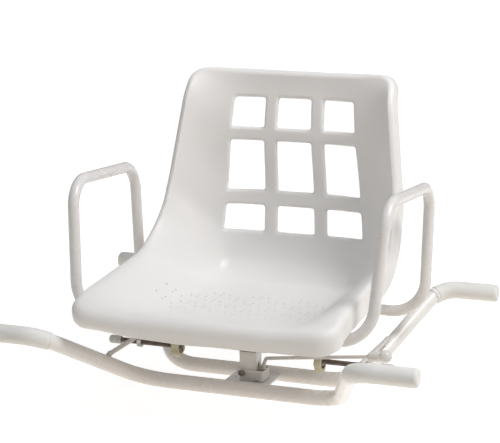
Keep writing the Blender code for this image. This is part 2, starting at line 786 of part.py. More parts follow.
def make_spindle(axis):
    """The spindle under the carrier plate, with a groove for the retaining bolt."""
    foot_z = DISC_LOW_Z + DISC_THICKNESS + WELD_GAP
    seat_z = POST_TOP_Z + WELD_GAP + BUSH_FLANGE + RUNNING_GAP
    plain = round_outline(SPINDLE_R, ROUND_SIDES)
    groove = round_outline(SPINDLE_R - GROOVE_DEPTH, ROUND_SIDES)
    shoulder = round_outline(SHOULDER_R, ROUND_SIDES)
    groove_half = RETAINING_R + GROOVE_SLACK
    layers = [
        (foot_z, plain), (RETAINING_Z - groove_half, plain), (RETAINING_Z - groove_half, groove),
        (RETAINING_Z + groove_half, groove), (RETAINING_Z + groove_half, plain), (seat_z, plain),
        (seat_z, shoulder), (CARRIER_LOW_Z - WELD_GAP, shoulder),
    ]
    body = loft(stacked((0.0, 0.0, 0.0), (0, 0, 1), (0, 1, 0), layers))
    spindle = add_piece("swivel_spindle", body, "steel", axis)
    hole_length = DISC_THICKNESS + DISC_SCREW_DEPTH + BOLT_GAP
    hole = round_body((0.0, 0.0, DISC_LOW_Z), (0, 0, 1), hole_length, DISC_SCREW_R + BOLT_GAP)
    apply_tool(spindle, add_tool("spindle_screw_hole", hole))


def make_index_disc(axis):
    """The notched disc on the spindle's foot and the screw that holds it."""
    rim = round_outline(DISC_R, ROUND_SIDES)
    bore = round_outline(DISC_SCREW_R + BOLT_GAP, ROUND_SIDES, True)
    layers = [(0.0, rim), (DISC_THICKNESS, rim), (DISC_THICKNESS, bore), (0.0, bore)]
    body = loft(stacked((0.0, 0.0, DISC_LOW_Z), (0, 0, 1), (0, 1, 0), layers), closed=True)
    disc = add_piece("index_disc", body, "steel", axis)
    notches = []
    for k in range(NOTCH_COUNT):
        notch = box_body(
            (NOTCH_FLOOR_R, -NOTCH_WIDTH / 2.0, DISC_LOW_Z - DISC_THICKNESS),
            (2.0 * DISC_R, NOTCH_WIDTH / 2.0, DISC_LOW_Z + 2.0 * DISC_THICKNESS),
        )
        turn = Quaternion((0, 0, 1), 2.0 * math.pi * k / NOTCH_COUNT).to_matrix()
        bmesh.ops.rotate(notch, verts=notch.verts, cent=(0, 0, 0), matrix=turn)
        notches.append(notch)
    apply_tool(disc, add_tool("disc_notches", merged(notches)))
    under_head = DISC_LOW_Z - WELD_GAP
    head = round_outline(DISC_SCREW_HEAD_R, SMALL_SIDES)
    shank = round_outline(DISC_SCREW_R, SMALL_SIDES)
    length = DISC_THICKNESS + DISC_SCREW_DEPTH
    layers = [(-DISC_SCREW_HEAD, head), (0.0, head), (0.0, shank), (length, shank)]
    screw = loft(stacked((0.0, 0.0, under_head), (0, 0, 1), (0, 1, 0), layers))
    add_piece("index_disc_screw", screw, "steel", axis)


def cross_tubes():
    """Place along Y and underside of the two armrest tubes that run under the seat."""
    return {
        "front": (ARM_FRONT_LOW[1], ARM_FRONT_LOW[2] - ARM_TUBE_R),
        "rear": (ARM_REAR_LOW[1], ARM_REAR_LOW[2] - ARM_TUBE_R),
    }


def make_carrier(axis):
    """A bent plate: flat over the spindle, with raised pads under the armrest tubes."""
    tubes = cross_tubes()
    upper = []
    for end_name, end in ENDS.items():
        tube_y, underside = tubes[end_name]
        pad_z = underside - WELD_GAP
        near, far = tube_y - end * CARRIER_PAD_HALF, tube_y + end * CARRIER_PAD_HALF
        flat = (end * CARRIER_FLAT_Y, CARRIER_LOW_Z + CARRIER_THICKNESS)
        side_points = [(far, pad_z), (near, pad_z), flat]
        upper += side_points if end < 0 else side_points[::-1]
    upper = np.array(upper)
    lower = upper - np.array([0.0, CARRIER_THICKNESS])
    profile = np.vstack([lower, upper[::-1]])
    ends = (-CARRIER_HALF_WIDTH, CARRIER_HALF_WIDTH)
    rings = [np.column_stack([np.full(len(profile), x), profile]) for x in ends]
    carrier = add_piece("seat_carrier", loft(rings), "painted", axis)
    apply_tool(carrier, add_tool("carrier_bolt_holes", seat_bolt_holes()))


def seat_bolt_places():
    """The four bolts that clamp the seat and the armrests to the carrier."""
    tubes = cross_tubes()
    return {
        end_name + "_" + side_name: (side * SEAT_BOLT_X, tubes[end_name][0], tubes[end_name][1])
        for end_name in ENDS for side_name, side in SIDES.items()
    }


def seat_bolt_holes():
    """Clear holes for the seat bolts, up to just under the seat's top skin."""
    bodies = []
    for x, y, underside in seat_bolt_places().values():
        low = underside - 2.0 * CARRIER_THICKNESS
        top = centre_height(y) - BOSS_SKIN
        bodies.append(round_body((x, y, low), (0, 0, 1), top - low, SEAT_BOLT_R + BOLT_GAP))
    return merged(bodies)


def make_armrests(axis):
    """Each armrest is one bent tube, whose ends run under the seat."""
    tool = add_tool("armrest_bolt_holes", seat_bolt_holes())
    for side_name, side in SIDES.items():
        corners = [
            (ARM_INNER_X, ARM_FRONT_LOW[1], ARM_FRONT_LOW[2]), ARM_FRONT_LOW, ARM_FRONT_HIGH,
            ARM_REAR_HIGH, ARM_REAR_LOW, (ARM_INNER_X, ARM_REAR_LOW[1], ARM_REAR_LOW[2]),
        ]
        corners = [(side * x, y, z) for x, y, z in corners]
        route = bent_route(corners, [ARM_LOW_BEND, ARM_HIGH_BEND, ARM_HIGH_BEND, ARM_LOW_BEND])
        body = tube_body(route, (0, 0, 1), ARM_TUBE_R, ARM_TUBE_WALL, ARM_SIDES)
        apply_tool(add_piece(side_name + "_armrest", body, "painted", axis), tool)


def make_seat_bolts(axis):
    """Hexagon bolts from below, through the carrier and a tube into a boss."""
    for name, (x, y, underside) in seat_bolt_places().items():
        under_head = underside - WELD_GAP - CARRIER_THICKNESS - WELD_GAP
        tip = centre_height(y) - BOSS_SKIN - BOLT_GAP
        body = bolt_body(
            (x, y, under_head), (0, 0, 1), tip - under_head, SEAT_BOLT_R, SEAT_BOLT_HEAD_AF, SEAT_BOLT_HEAD
        )
        add_piece(name + "_seat_bolt", body, "steel", axis)


# Seat shell

def eased(value):
    """A smooth step from 0 to 1."""
    value = np.clip(value, 0.0, 1.0)
    return value * value * (3.0 - 2.0 * value)


def centre_height(y):
    """Height of the seat's centre line over its flat part and its front lift."""
    run = np.clip((SEAT_LIFT_START_Y - y) / (SEAT_LIFT_START_Y - SEAT_FRONT_Y), 0.0, None)
    return SEAT_Z + SEAT_FRONT_LIFT * run ** SEAT_LIFT_POWER


def side_view_line(start, seat_slope, back_point, back_lean, fold, top_z):
    """A side view line of (y, z): along the seat, round the fold and up the back."""
    ahead = np.array([1.0, seat_slope]) / math.hypot(1.0, seat_slope)
    upward = np.array([back_lean, 1.0]) / math.hypot(1.0, back_lean)
    level = start[1] - seat_slope * start[0]
    corner_y = (back_point[0] + back_lean * (level - back_point[1])) / (1.0 - back_lean * seat_slope)
    corner = np.array([corner_y, level + seat_slope * corner_y])
    turn = math.acos(float(ahead @ upward))
    setback = fold * math.tan(turn / 2.0)
    fold_start = corner - ahead * setback
    fold_end = corner + upward * setback
    top = np.array([back_point[0] + back_lean * (top_z - back_point[1]), top_z])

    share = np.linspace(0.0, 1.0, SEAT_ROWS + 1)[:, None]
    share = ROW_EVENNESS * share + (1.0 - ROW_EVENNESS) * (1.0 - np.cos(share * math.pi / 2.0))
    seat = np.array(start) + (fold_start - np.array(start)) * share
    normal = np.array([-ahead[1], ahead[0]])
    turns = np.linspace(0.0, turn, FOLD_ROWS + 1)[1:, None]
    arc = fold_start + normal * fold + fold * (ahead * np.sin(turns) - normal * np.cos(turns))
    share = np.linspace(0.0, 1.0, BACK_ROWS + 1)[1:, None]
    share = ROW_EVENNESS * share + (1.0 - ROW_EVENNESS) * np.sin(share * math.pi / 2.0)
    return np.vstack([seat, arc, fold_end + (top - fold_end) * share])


def centre_line():
    """The middle of the shell, seen from the side, with the back's bow towards the sitter."""
    line = side_view_line(
        (SEAT_FRONT_Y, SEAT_Z), 0.0, (BACK_Y, BACK_LEVEL_Z), BACK_LEAN, BACK_FOLD, BACK_TOP_Z
    )
    line[:, 1] += centre_height(line[:, 0]) - SEAT_Z
    away = np.clip((line[:, 1] - BACK_BOW_Z) / BACK_BOW_HALF, -1.0, 1.0)
    line[:, 0] -= BACK_BOW * np.cos(away * math.pi / 2.0) ** 2
    return line


def rim_line():
    """The crest of the raised rim, seen from the side, and its direction at each row.

    The crest dips towards the front edge and sets back towards the top corners.
    The direction leaves both out, so that the front face hangs straight down and
    the top edge rolls straight back.
    """
    start_z = RIM_SEAT_Z + RIM_SEAT_SLOPE * SEAT_FRONT_Y
    start = (SEAT_FRONT_Y, start_z)
    back = (RIM_BACK_Y, RIM_BACK_Z)
    top_z = BACK_TOP_Z + RIM_TOP_LIFT
    line = side_view_line(start, RIM_SEAT_SLOPE, back, RIM_BACK_LEAN, RIM_FOLD, top_z)
    slope = np.gradient(line, axis=0)
    slope /= np.linalg.norm(slope, axis=1, keepdims=True)
    near_top = np.clip(1.0 - (top_z - line[:, 1]) / RIM_TOP_RUN, 0.0, 1.0)
    line[:, 0] += RIM_TOP_SETBACK * near_top ** 2
    near_front = 1.0 - np.clip((line[:, 0] - SEAT_FRONT_Y) / RIM_FRONT_RUN, 0.0, 1.0)
    line[:, 1] -= (start_z - RIM_FRONT_Z) * near_front ** 2
    return line, slope


def rim_half_width(rim):
    """Half width of the rim at each row, before the corners are rounded."""
    inset = RIM_BACK_INSET * eased((rim[:, 1] - RIM_INSET_START_Z) / (RIM_BACK_Z - RIM_INSET_START_Z))
    return RIM_HALF_WIDTH - inset - RIM_TAPER * np.clip(rim[:, 1] - RIM_BACK_Z, 0.0, None)


def corner_inset(distance, radius):
    """How far a round corner draws in, at a distance from the edge it ends on."""
    inside = np.clip(radius - distance, 0.0, None)
    return radius - np.sqrt(np.clip(radius ** 2 - inside ** 2, 0.0, None))


def shell_surface():
    """Rows of the seat's top surface, with each row's rim direction and rim distance.

    A row runs across the seat.  On the seat its middle part follows the centre
    line, and beyond the dish's start it rises smoothly to the rim line.  On the
    back it rises by a power of the distance from the middle.
    """
    centre = centre_line()
    rim, slope = rim_line()
    travelled = np.concatenate([[0.0], np.cumsum(np.linalg.norm(np.diff(rim, axis=0), axis=1))])
    full = rim_half_width(rim)
    half = full - corner_inset(travelled, CORNER_FRONT)
    half = half - corner_inset(travelled[-1] - travelled, CORNER_TOP)
    across = np.linspace(-1.0, 1.0, SHELL_COLUMNS + 1)
    across = COLUMN_EVENNESS * across + (1.0 - COLUMN_EVENNESS) * np.sin(across * math.pi / 2.0)
    x = half[:, None] * across[None, :]
    to_back = eased((rim[:, 1] - DISH_CHANGE_LOW_Z) / (DISH_CHANGE_HIGH_Z - DISH_CHANGE_LOW_Z))
    share = np.abs(x) / full[:, None]
    seat_rise = eased((share - DISH_START_SEAT) / (1.0 - DISH_START_SEAT))
    rise = seat_rise + (share ** DISH_BACK_POWER - seat_rise) * to_back[:, None]
    y = centre[:, :1] + (rim[:, :1] - centre[:, :1]) * rise
    z = centre[:, 1:] + (rim[:, 1:] - centre[:, 1:]) * rise
    return np.stack([x, y, z], axis=-1), slope, travelled


def edge_walk(rows, columns):
    """Grid places round the sheet's edge: up the right side, over the top and back."""
    walk = [(i, columns - 1) for i in range(rows)]
    walk += [(rows - 1, j) for j in range(columns - 2, -1, -1)]
    walk += [(i, 0) for i in range(rows - 2, -1, -1)]
    walk += [(0, j) for j in range(1, columns - 1)]
    return walk


def edge_rings(sheet, slope, travelled):
    """The rolled edge and the skirt, as rings round the sheet's edge."""
    walk = edge_walk(*sheet.shape[:2])
    rows = np.array([i for i, _ in walk])
    edge = np.array([sheet[i, j] for i, j in walk])
    flat = np.column_stack([edge[:, 0], travelled[rows]])
    run = np.roll(flat, -1, axis=0) - np.roll(flat, 1, axis=0)
    run /= np.linalg.norm(run, axis=1, keepdims=True)
    out_x, out_s = run[:, 1], -run[:, 0]
    nothing = np.zeros(len(walk))
    tangent = np.column_stack([nothing, slope[rows, 0], slope[rows, 1]])
    down = np.column_stack([nothing, slope[rows, 1], -slope[rows, 0]])
    outward = out_x[:, None] * np.array([[1.0, 0.0, 0.0]]) + out_s[:, None] * tangent

    share = flat[:, 1] / travelled[-1]
    at_front = np.clip(-out_s, 0.0, 1.0) * (share < FRONT_END_SHARE)
    at_top = np.clip(out_s, 0.0, 1.0) * (share > TOP_START_SHARE)
    roll = ROLL_SIDE + (ROLL_FRONT - ROLL_SIDE) * at_front + (ROLL_TOP - ROLL_SIDE) * at_top
    rings = []
    for degrees in ROLL_ANGLES:
        turn = math.radians(degrees)
        rings.append(edge + roll[:, None] * (outward * math.sin(turn) + down * (1.0 - math.cos(turn))))
    to_fold = eased((share - SKIRT_FOLD_SHARE) / SKIRT_CHANGE_SHARE)
    to_back = eased((share - SKIRT_BACK_SHARE) / SKIRT_CHANGE_SHARE)
    side = SKIRT_SIDE + (SKIRT_FOLD - SKIRT_SIDE) * to_fold
    side = side + (SKIRT_BACK - side) * to_back
    front_low = SKIRT_FRONT_Z + SKIRT_CORNER_LIFT * np.clip(out_x, -1.0, 1.0) ** 2
    front = np.clip(rings[-1][:, 2] - front_low, 0.0, None)
    skirt = front + (side - front) * eased(flat[:, 1] / SKIRT_FRONT_RUN)
    rings.append(rings[-1] + skirt[:, None] * down)
    return walk, rings


def shell_sheet():
    """The shell's outer skin as an open mesh: the seat, the roll and the skirt."""
    sheet, slope, travelled = shell_surface()
    rows, columns, _ = sheet.shape
    walk, rings = edge_rings(sheet, slope, travelled)
    bm = bmesh.new()
    grid = [[bm.verts.new(point) for point in row] for row in sheet]
    for i in range(rows - 1):
        for j in range(columns - 1):
            bm.faces.new((grid[i][j], grid[i][j + 1], grid[i + 1][j + 1], grid[i + 1][j]))
    inner = [grid[i][j] for i, j in walk]
    for ring in rings:
        outer = [bm.verts.new(point) for point in ring]
        for k in range(len(walk)):
            after = (k + 1) % len(walk)
            bm.faces.new((inner[after], inner[k], outer[k], outer[after]))
        inner = outer
    return bm


def window_outline(low, high, near, far):
    """A window as (x, z) points: a tapered four-sided shape with round corners."""
    corners = [Vector((side(z), z)) for side, z in ((near, low), (far, low), (far, high), (near, high))]
    points = []
    for before, corner, after in zip(corners[-1:] + corners[:-1], corners, corners[1:] + corners[:1]):
        back = (before - corner).normalized() * WINDOW_CORNER
        ahead = (after - corner).normalized() * WINDOW_CORNER
        points += [corner + back, corner + back * WINDOW_CORNER_EASE]
        points += [corner + ahead * WINDOW_CORNER_EASE, corner + ahead]
    return [(point.x, point.y) for point in points]


def window_cutters():
    """Nine prisms through the backrest, three rows of three."""
    top_z = BACK_TOP_Z - WINDOW_ROWS[0][0]

    def line(at_top, spread):
        return lambda z: at_top + spread * (top_z - z)

    centre_far = line(CENTRE_WINDOW_HALF, CENTRE_WINDOW_SPREAD)
    side_near = line(SIDE_WINDOW_NEAR, SIDE_WINDOW_NEAR_SPREAD)
    side_far = line(SIDE_WINDOW_FAR, SIDE_WINDOW_FAR_SPREAD)
    columns = [
        (lambda z: -centre_far(z), centre_far),
        (side_near, side_far),
        (lambda z: -side_far(z), lambda z: -side_near(z)),
    ]
    ends = (WINDOW_CUT_FRONT_Y, WINDOW_CUT_BACK_Y)
    bodies = []
    for upper, lower in WINDOW_ROWS:
        for near, far in columns:
            outline = window_outline(BACK_TOP_Z - lower, BACK_TOP_Z - upper, near, far)
            bodies.append(loft([np.array([(x, y, z) for x, z in outline]) for y in ends]))
    return merged(bodies)


def make_shell(axis):
    """The moulded bucket seat, with windows in its back and bosses under it."""
    shell = add_piece("seat_shell", shell_sheet(), "moulded", axis)
    wall = shell.modifiers.new("wall", "SOLIDIFY")
    wall.thickness = SHELL_WALL
    wall.offset = -1.0
    wall.use_even_offset = True
    bosses = []
    for x, y, underside in seat_bolt_places().values():
        low = underside + 2.0 * ARM_TUBE_R + WELD_GAP
        top = centre_height(y) - SHELL_WALL / 2.0
        bosses.append(round_body((x, y, low), (0, 0, 1), top - low, BOSS_R))
    apply_tool(shell, add_tool("shell_windows", window_cutters()))
    apply_tool(shell, add_tool("shell_bosses", merged(bosses)), "UNION")
    apply_tool(shell, add_tool("shell_bolt_holes", seat_bolt_holes()))


def make_seat():
    """Everything that turns on the spindle."""
    axis = axis_empty("seat_axis", (0.0, 0.0, 0.0))
    make_spindle(axis)
    make_index_disc(axis)
    make_carrier(axis)
    make_armrests(axis)
    make_seat_bolts(axis)
    make_shell(axis)


def main():
    """Build the whole seat."""
    clear_scene()
    make_frame()
    lever_axis = axis_empty("lever_axis", (PIVOT_X, 0.0, PIVOT_Z))
    make_rocker(lever_axis)
    make_lever(lever_axis)
    for side_name in SIDES:
        make_adjuster(side_name)
    make_seat()


main()
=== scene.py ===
"""Looks of the swivel bath seat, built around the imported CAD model.

Every piece is a surface worked out from a formula: a profile carried along a
route, a profile turned about an axis, or a sheet over two parameters.  Metres,
+Z up, origin on the swivel axis at the level of the lowest tubes.  Left is -X,
front is -Y.
"""

import math

import bmesh
import bpy
import numpy as np
from mathutils import Matrix, Vector


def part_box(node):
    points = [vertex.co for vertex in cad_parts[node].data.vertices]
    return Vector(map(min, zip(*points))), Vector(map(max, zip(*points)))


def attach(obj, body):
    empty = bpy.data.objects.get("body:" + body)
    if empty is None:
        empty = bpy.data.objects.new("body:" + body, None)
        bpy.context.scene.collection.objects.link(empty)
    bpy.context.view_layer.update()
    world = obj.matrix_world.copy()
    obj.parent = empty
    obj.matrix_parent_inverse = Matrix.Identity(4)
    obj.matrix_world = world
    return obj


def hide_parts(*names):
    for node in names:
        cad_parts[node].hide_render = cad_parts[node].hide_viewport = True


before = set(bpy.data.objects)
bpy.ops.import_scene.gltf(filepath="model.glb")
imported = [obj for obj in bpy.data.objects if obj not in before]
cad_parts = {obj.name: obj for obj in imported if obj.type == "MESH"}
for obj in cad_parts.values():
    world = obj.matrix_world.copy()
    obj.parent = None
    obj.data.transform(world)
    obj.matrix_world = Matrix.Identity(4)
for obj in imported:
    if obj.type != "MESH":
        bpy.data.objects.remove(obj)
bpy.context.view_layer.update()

X_AXIS = np.array([1.0, 0.0, 0.0])
Y_AXIS = np.array([0.0, 1.0, 0.0])
Z_AXIS = np.array([0.0, 0.0, 1.0])
SIDES = {"left": -1.0, "right": 1.0}
ENDS = {"front": -1.0, "rear": 1.0}
FIT = 0.0003
MM = 0.001

# Frame, as in the CAD
TUBE_R = 0.0127
TUBE_WALL = 0.0015
HALF_SPAN = 0.360
FLAT_Y = 0.0514
FOOT_X = 0.172
SHOULDER_X = 0.256
RIM_Y = 0.262
FRAME_RISE = 0.1193
LOW_BEND = 0.070
HIGH_BEND = 0.050
GRIP_R = 0.0150
GRIP_END = 0.004
STRUT_R = 0.004
STRUT_X = 0.2019
STRUT_Z = 0.072
STRUT_EDGE = 0.0008

# Grips, finer than the CAD; collar rows are (distance from the collar line, change of reach)
GRIP_LENGTH = 0.113
GRIP_MOUTH_DEPTH = 0.012
GRIP_LIP = 0.0016
GRIP_LIP_DROP = 0.0006
GRIP_COLLAR_AT = 0.0062
GRIP_COLLAR = np.array([(-1.2, -0.6), (-0.6, -0.9), (0.0, -1.0), (0.6, -0.4), (1.2, 0.0)]) * MM
GRIP_BODY_GAP = 0.003
GRIP_BODY_RINGS = 60
GRIP_EDGE = 0.0055
GRIP_END_GAP = 0.002
GRIP_FACE_SHARE = 0.45
GRIP_STEPS = 7
GRIP_OVERRUN = 0.010
GRIP_FINE_STEPS = 400

# Base plate and weld beads of the frame; rounds are (corner in plan, edge)
PLATE_ROUNDS = (0.003, 0.0006)
STRUT_WELD = 0.0009
STRUT_WELD_INSET = 0.0075
NUT_SEAM = 0.0012
NUT_SEAM_HALF = 0.0045
NUT_SEAM_INSET = 0.0008
PLATE_SEAM = 0.0022
PLATE_SEAM_INSET = 0.004
POST_SEAM = 0.0014
POST_SEAM_HALF = 0.011
POST_SEAM_GAP = 0.0006

# Armrests, as in the CAD
ARM_R = 0.0095
ARM_WALL = 0.0015
ARM_LOW_BEND = 0.060
ARM_HIGH_BEND = 0.048
ARM_INNER_X = 0.012
ARM_FRONT_LOW = (0.2500, -0.1417, 0.1390)
ARM_FRONT_HIGH = (0.2660, -0.1168, 0.3560)
ARM_REAR_HIGH = (0.2685, 0.1317, 0.3405)
ARM_REAR_LOW = (0.2609, 0.1377, 0.1180)

# Carrier and seat bolts; the weld's rows are (distance below the plate, reach), a shank is
# (reach, edge, steps) and the washer (thickness, reach, edge, steps)
CARRIER_Z = 0.085
CARRIER_WALL = 0.004
CARRIER_BEND = 0.006
CARRIER_TURN = 0.12
CARRIER_ROUND = 0.0006
CARRIER_ANGLE = 60.0
CARRIER_PAD = 0.020
CARRIER_FLAT_Y = 0.072
COLLAR_GAP = 0.0002
COLLAR_WELD = np.array([(0.0, 17.5), (0.5, 19.2), (1.4, 18.6), (2.4, 17.5), (3.0, 16.8)]) * MM
SEAT_BOLT_HEAD = 0.004
SEAT_SHANK = (0.003, 0.0004, 3)
WASHER = (0.0008, 0.0074, 0.0003, 3)
WASHER_DROP = 0.0009
BOSS_R = 0.009
BOSS_BORE = 0.0036
BOSS_EDGE = 0.0005
BOSS_FLARE = 0.004
BOSS_OVERLAP = 0.0006
FLARE_TURNS = np.linspace(0.0, 1.5, 6)
FLARE_ARC = np.column_stack([np.sin(FLARE_TURNS), 1.0 - np.cos(FLARE_TURNS)])

# Post, rocker and lever, as in the CAD
POST_SIDE = 0.030
POST_WALL = 0.002
SLOT = (0.006, 0.027, 0.046)
PIVOT = (-0.009, 0.0, 0.030)
ROCKER_WALL = 0.002
LEVER_R = 0.003
LEVER_FOOT = (0.0235, 0.0, 0.0359)
LEVER_UPRIGHT_Z = 0.0429
LEVER_CORNER = (0.0300, -0.0065, 0.0560)
KNOB_CENTRE = (0.2474, -0.0460, 0.0931)
KNOB_BALL_R = 0.0105
KNOB_SLEEVE_R = 0.0080
KNOB_SLEEVE_LENGTH = 0.030

# Post, rocker and lever, finer than the CAD; rocker edges are heights at the tips and at the web,
# and neck rows are (distance from the ball's centre, share of the sleeve's reach)
BORE_OVERRUN = 0.010
POST_ROUNDS = (0.003, 0.0005)
CUTTER_ROUNDS = (0.001, 0.0002)
CUT_ROUND = 0.0003
CUT_ANGLE = 50.0
PIVOT_HOLE_R = 0.0033
PIVOT_HEAD = 0.004
PIVOT_SHANK = (0.003, 0.0004)
PIVOT_NUT_BORE = 0.0031
RETAINING_HEAD = 0.0035
RETAINING_SHANK = (0.0024, 0.0003)
FLANGE_THICKNESS = 0.0027
FLANGE_ROUNDS = (0.0025, 0.0006)
FLANGE_HOLE_R = 0.0103
ROCKER_BEND = 0.0035
ROCKER_TURN = 0.15
ROCKER_TIP = 0.003
ROCKER_STEPS = 6
ROCKER_LOWER = (0.0260, 0.0172)
ROCKER_UPPER = (0.0363, 0.0351)
DOG_X = 0.009
DOG_HALF_WIDTH = 0.002
DOG_HEIGHT = 0.005
DOG_ROUNDS = (0.0006, 0.0003)
FOOT_WELD = 0.0012
FOOT_WELD_R = LEVER_R + 0.0004
FOOT_WELD_RISE = 0.0006
LEVER_BENDS = (0.006, 0.008)
LEVER_TURN = 0.1
LEVER_UP = np.array([0.0, -1.0, 0.15])
LEVER_END_GAP = 0.002
KNOB_BORE_END = -0.020
KNOB_LIP_R = 0.0050
KNOB_EDGE = 0.003
KNOB_STEPS = 26
KNOB_NECK = np.array([(-0.0105, 1.0), (-0.0092, 0.985)])
KNOB_JOIN_SHARE = 0.94

# Adjusters, as in the CAD
ADJUSTER_Z = 0.0592
ADJUSTER_SET = {"left": 0.0, "right": -0.009}
SCREW_R = 0.005
SCREW_PITCH = 0.0015
SCREW_END = 0.252
WHEEL_X = 0.1318
WHEEL_R = 0.020
WHEEL_THICKNESS = 0.012
TIP_R = 0.0072

# Adjusters, finer than the CAD; the tip's collar rows are (distance from its mouth, change of reach)
SCREW_START = WHEEL_X - WHEEL_THICKNESS / 2.0 + 0.0035
THREAD_DEPTH = 0.0008
THREAD_ROWS = 8
THREAD_SIDES = 24
THREAD_FADE = 1.5
THREAD_STRETCH = 1.25
THREAD_ROOT = 0.1
WHEEL_LOBES = 6
WHEEL_LOBE = 0.0015
WHEEL_EDGE = 0.0018
WHEEL_STEPS = 5
WHEEL_SIDES = 96
CUP_R = 0.0125
CUP_DEPTH = 0.0042
CUP_IN_SHARE = 0.6
CUP_EDGE = 0.0006
CUP_EDGE_DROP = 0.0007
CUP_FLOOR_DROP = 0.0012
RIB_R = 0.0007
RIB_RUN = (0.0058, 0.0088, 0.0118)
RIB_SIDES = 8
TIP_BORE_DEPTH = 0.008
TIP_COLLAR = MM * np.array([(0.0, -1.2), (0.4, -0.4), (1.0, 0.0), (3.5, 0.0), (3.9, -0.8), (5.0, -0.8),
                            (5.4, 0.0)])
TIP_NOSE = 0.004
TIP_STEPS = 6

# Seat shell, as in the CAD
SHELL_WALL = 0.0035
SEAT_Z = 0.143
SEAT_FRONT_Y = -0.222
SEAT_FRONT_LIFT = 0.031
SEAT_LIFT_START_Y = -0.030
SEAT_LIFT_POWER = 1.6
BACK_Y = 0.2245
BACK_LEAN = -0.014
BACK_FOLD = 0.075
BACK_LEVEL_Z = 0.2175
BACK_TOP_Z = 0.4985
BACK_BOW = 0.0112
BACK_BOW_Z = 0.396
BACK_BOW_HALF = 0.110
RIM_SEAT_Z = 0.2075
RIM_SEAT_SLOPE = 0.0775
RIM_BACK_Y = 0.140
RIM_BACK_Z = 0.302
RIM_BACK_LEAN = 0.171
RIM_FOLD = 0.150
RIM_FRONT_Z = 0.181
RIM_FRONT_RUN = 0.060
RIM_HALF_WIDTH = 0.2125
RIM_BACK_INSET = 0.009
RIM_INSET_START_Z = 0.21
RIM_TAPER = 0.134
RIM_TOP_LIFT = 0.0035
RIM_TOP_SETBACK = 0.022
RIM_TOP_RUN = 0.050
CORNER_FRONT = 0.024
CORNER_TOP = 0.020
DISH_START_SEAT = 0.53
DISH_BACK_POWER = 3.4
DISH_CHANGE = (0.20, 0.32)
ROLL_SIDE = 0.010
ROLL_FRONT = 0.020
ROLL_TOP = 0.010
FRONT_SHARE = 0.3
TOP_SHARE = 0.7
SKIRT_SIDE = 0.026
SKIRT_FOLD = 0.028
SKIRT_BACK = 0.020
SKIRT_FOLD_SHARE = 0.35
SKIRT_BACK_SHARE = 0.60
SKIRT_CHANGE = 0.15
SKIRT_LEAST = 0.002
SKIRT_FRONT_Z = 0.1395
SKIRT_CORNER_LIFT = 0.012
SKIRT_FRONT_RUN = 0.035
WINDOW_ROWS = ((0.2175, 0.2645), (0.2927, 0.3828), (0.4073, 0.4600))
WINDOW_TOP_Z = 0.4600
CENTRE_WINDOW = (0.0297, 0.0200)
SIDE_WINDOW_NEAR = (0.0539, 0.0207)

# Seat shell, finer than the CAD
SIDE_WINDOW_FAR = (0.1077, 0.081)
LOW_ROW_LIFT = 0.0034
LIFT_LIMIT = 1.2
SKIRT_MIDDLE_DROP = 0.0025
SKIRT_DROP_X = -0.02
SKIRT_DROP_HALF = 0.09
SKIRT_LEFT_RISE = 0.0052
SKIRT_LEFT_TUCK = 0.007
SKIRT_LEFT_X = -0.09
SKIRT_LEFT_RUN = 0.10
SKIRT_LEFT_REACH = 0.16
TUCK_ROUND = 0.96
WINDOW_ROLL = 0.0062
WINDOW_CORNER = 0.0045
WARP_REACH = 0.010
LEVEL_START = 0.008
LEVEL_SPARE = 0.012
HOLE_R = 0.0017
HOLE_PITCH = 0.035
HOLE_ROW_PITCH = 0.045
HOLE_COLUMNS = (2, 3, 4, 3, 4, 3, 4, 3, 2)
HOLE_MIDDLE_Y = -0.018
HOLE_REACH = (0.0135, 0.0065)
HOLE_SIDES = 14
HOLE_START_Z = 0.12
HOLE_DEPTH = 0.08

# Rows and columns of the shell's grid
ROLL_STATIONS = WINDOW_ROLL * (1.0 - np.cos(np.radians([15, 30, 45, 60, 75, 90])))
ROLL_STATIONS = np.append(ROLL_STATIONS, WINDOW_ROLL + 1.5 * MM)
INNER_STATIONS = np.array([1.1, 2.4, 4.5]) * MM
CORNER_STATIONS = 1.0 - np.cos(np.radians(np.arange(0.0, 91.0, 9.0)))
EDGE_TURNS = np.radians(np.arange(9.0, 91.0, 9.0))
SKIRT_STEPS = 5
SEAT_ROWS = 22
FOLD_ROWS = 22
WINDOW_CELLS = 6
CROSSBAR_ROWS = 4
CENTRE_CELLS = 3
PILLAR_COLUMNS = 3
SIDE_CELLS = 7
WING_COLUMNS = 14
STRETCH = np.linspace(0.0, 3.0, 3001)
SMALL_STEP = 0.001
HALVINGS = 30

# Meshes, weld beads and hexagons
SAME_POINT = 2e-6
NO_LENGTH = 1e-6
SHARP_ANGLE = math.radians(34.0)
NEARLY_UPRIGHT = 0.9
ON_OUTLINE = 1e-7
TURN_STEP = math.radians(4.0)
CORNER_STEPS = 6
EDGE_STEPS = 3
TUBE_SIDES = 48
SLEEVE_SIDES = 44
ARM_SIDES = 40
BAR_SIDES = 28
SHANK_SIDES = 24
PIVOT_SIDES = 32
COLLAR_SIDES = 60
HEAD_SIDES = 72
HEAD_FACE_SHARE = 0.475
HEAD_CONE_RISE = 0.5
BEAD_SIDES = 10
RING_STEPS = 66
RING_LUMPS = 11
RING_RIPPLE = 0.16
LINE_RIPPLE = 0.12
LINE_TAPER = 0.2
RIPPLE_PITCH = 0.0035
RIPPLE_STEPS = 8

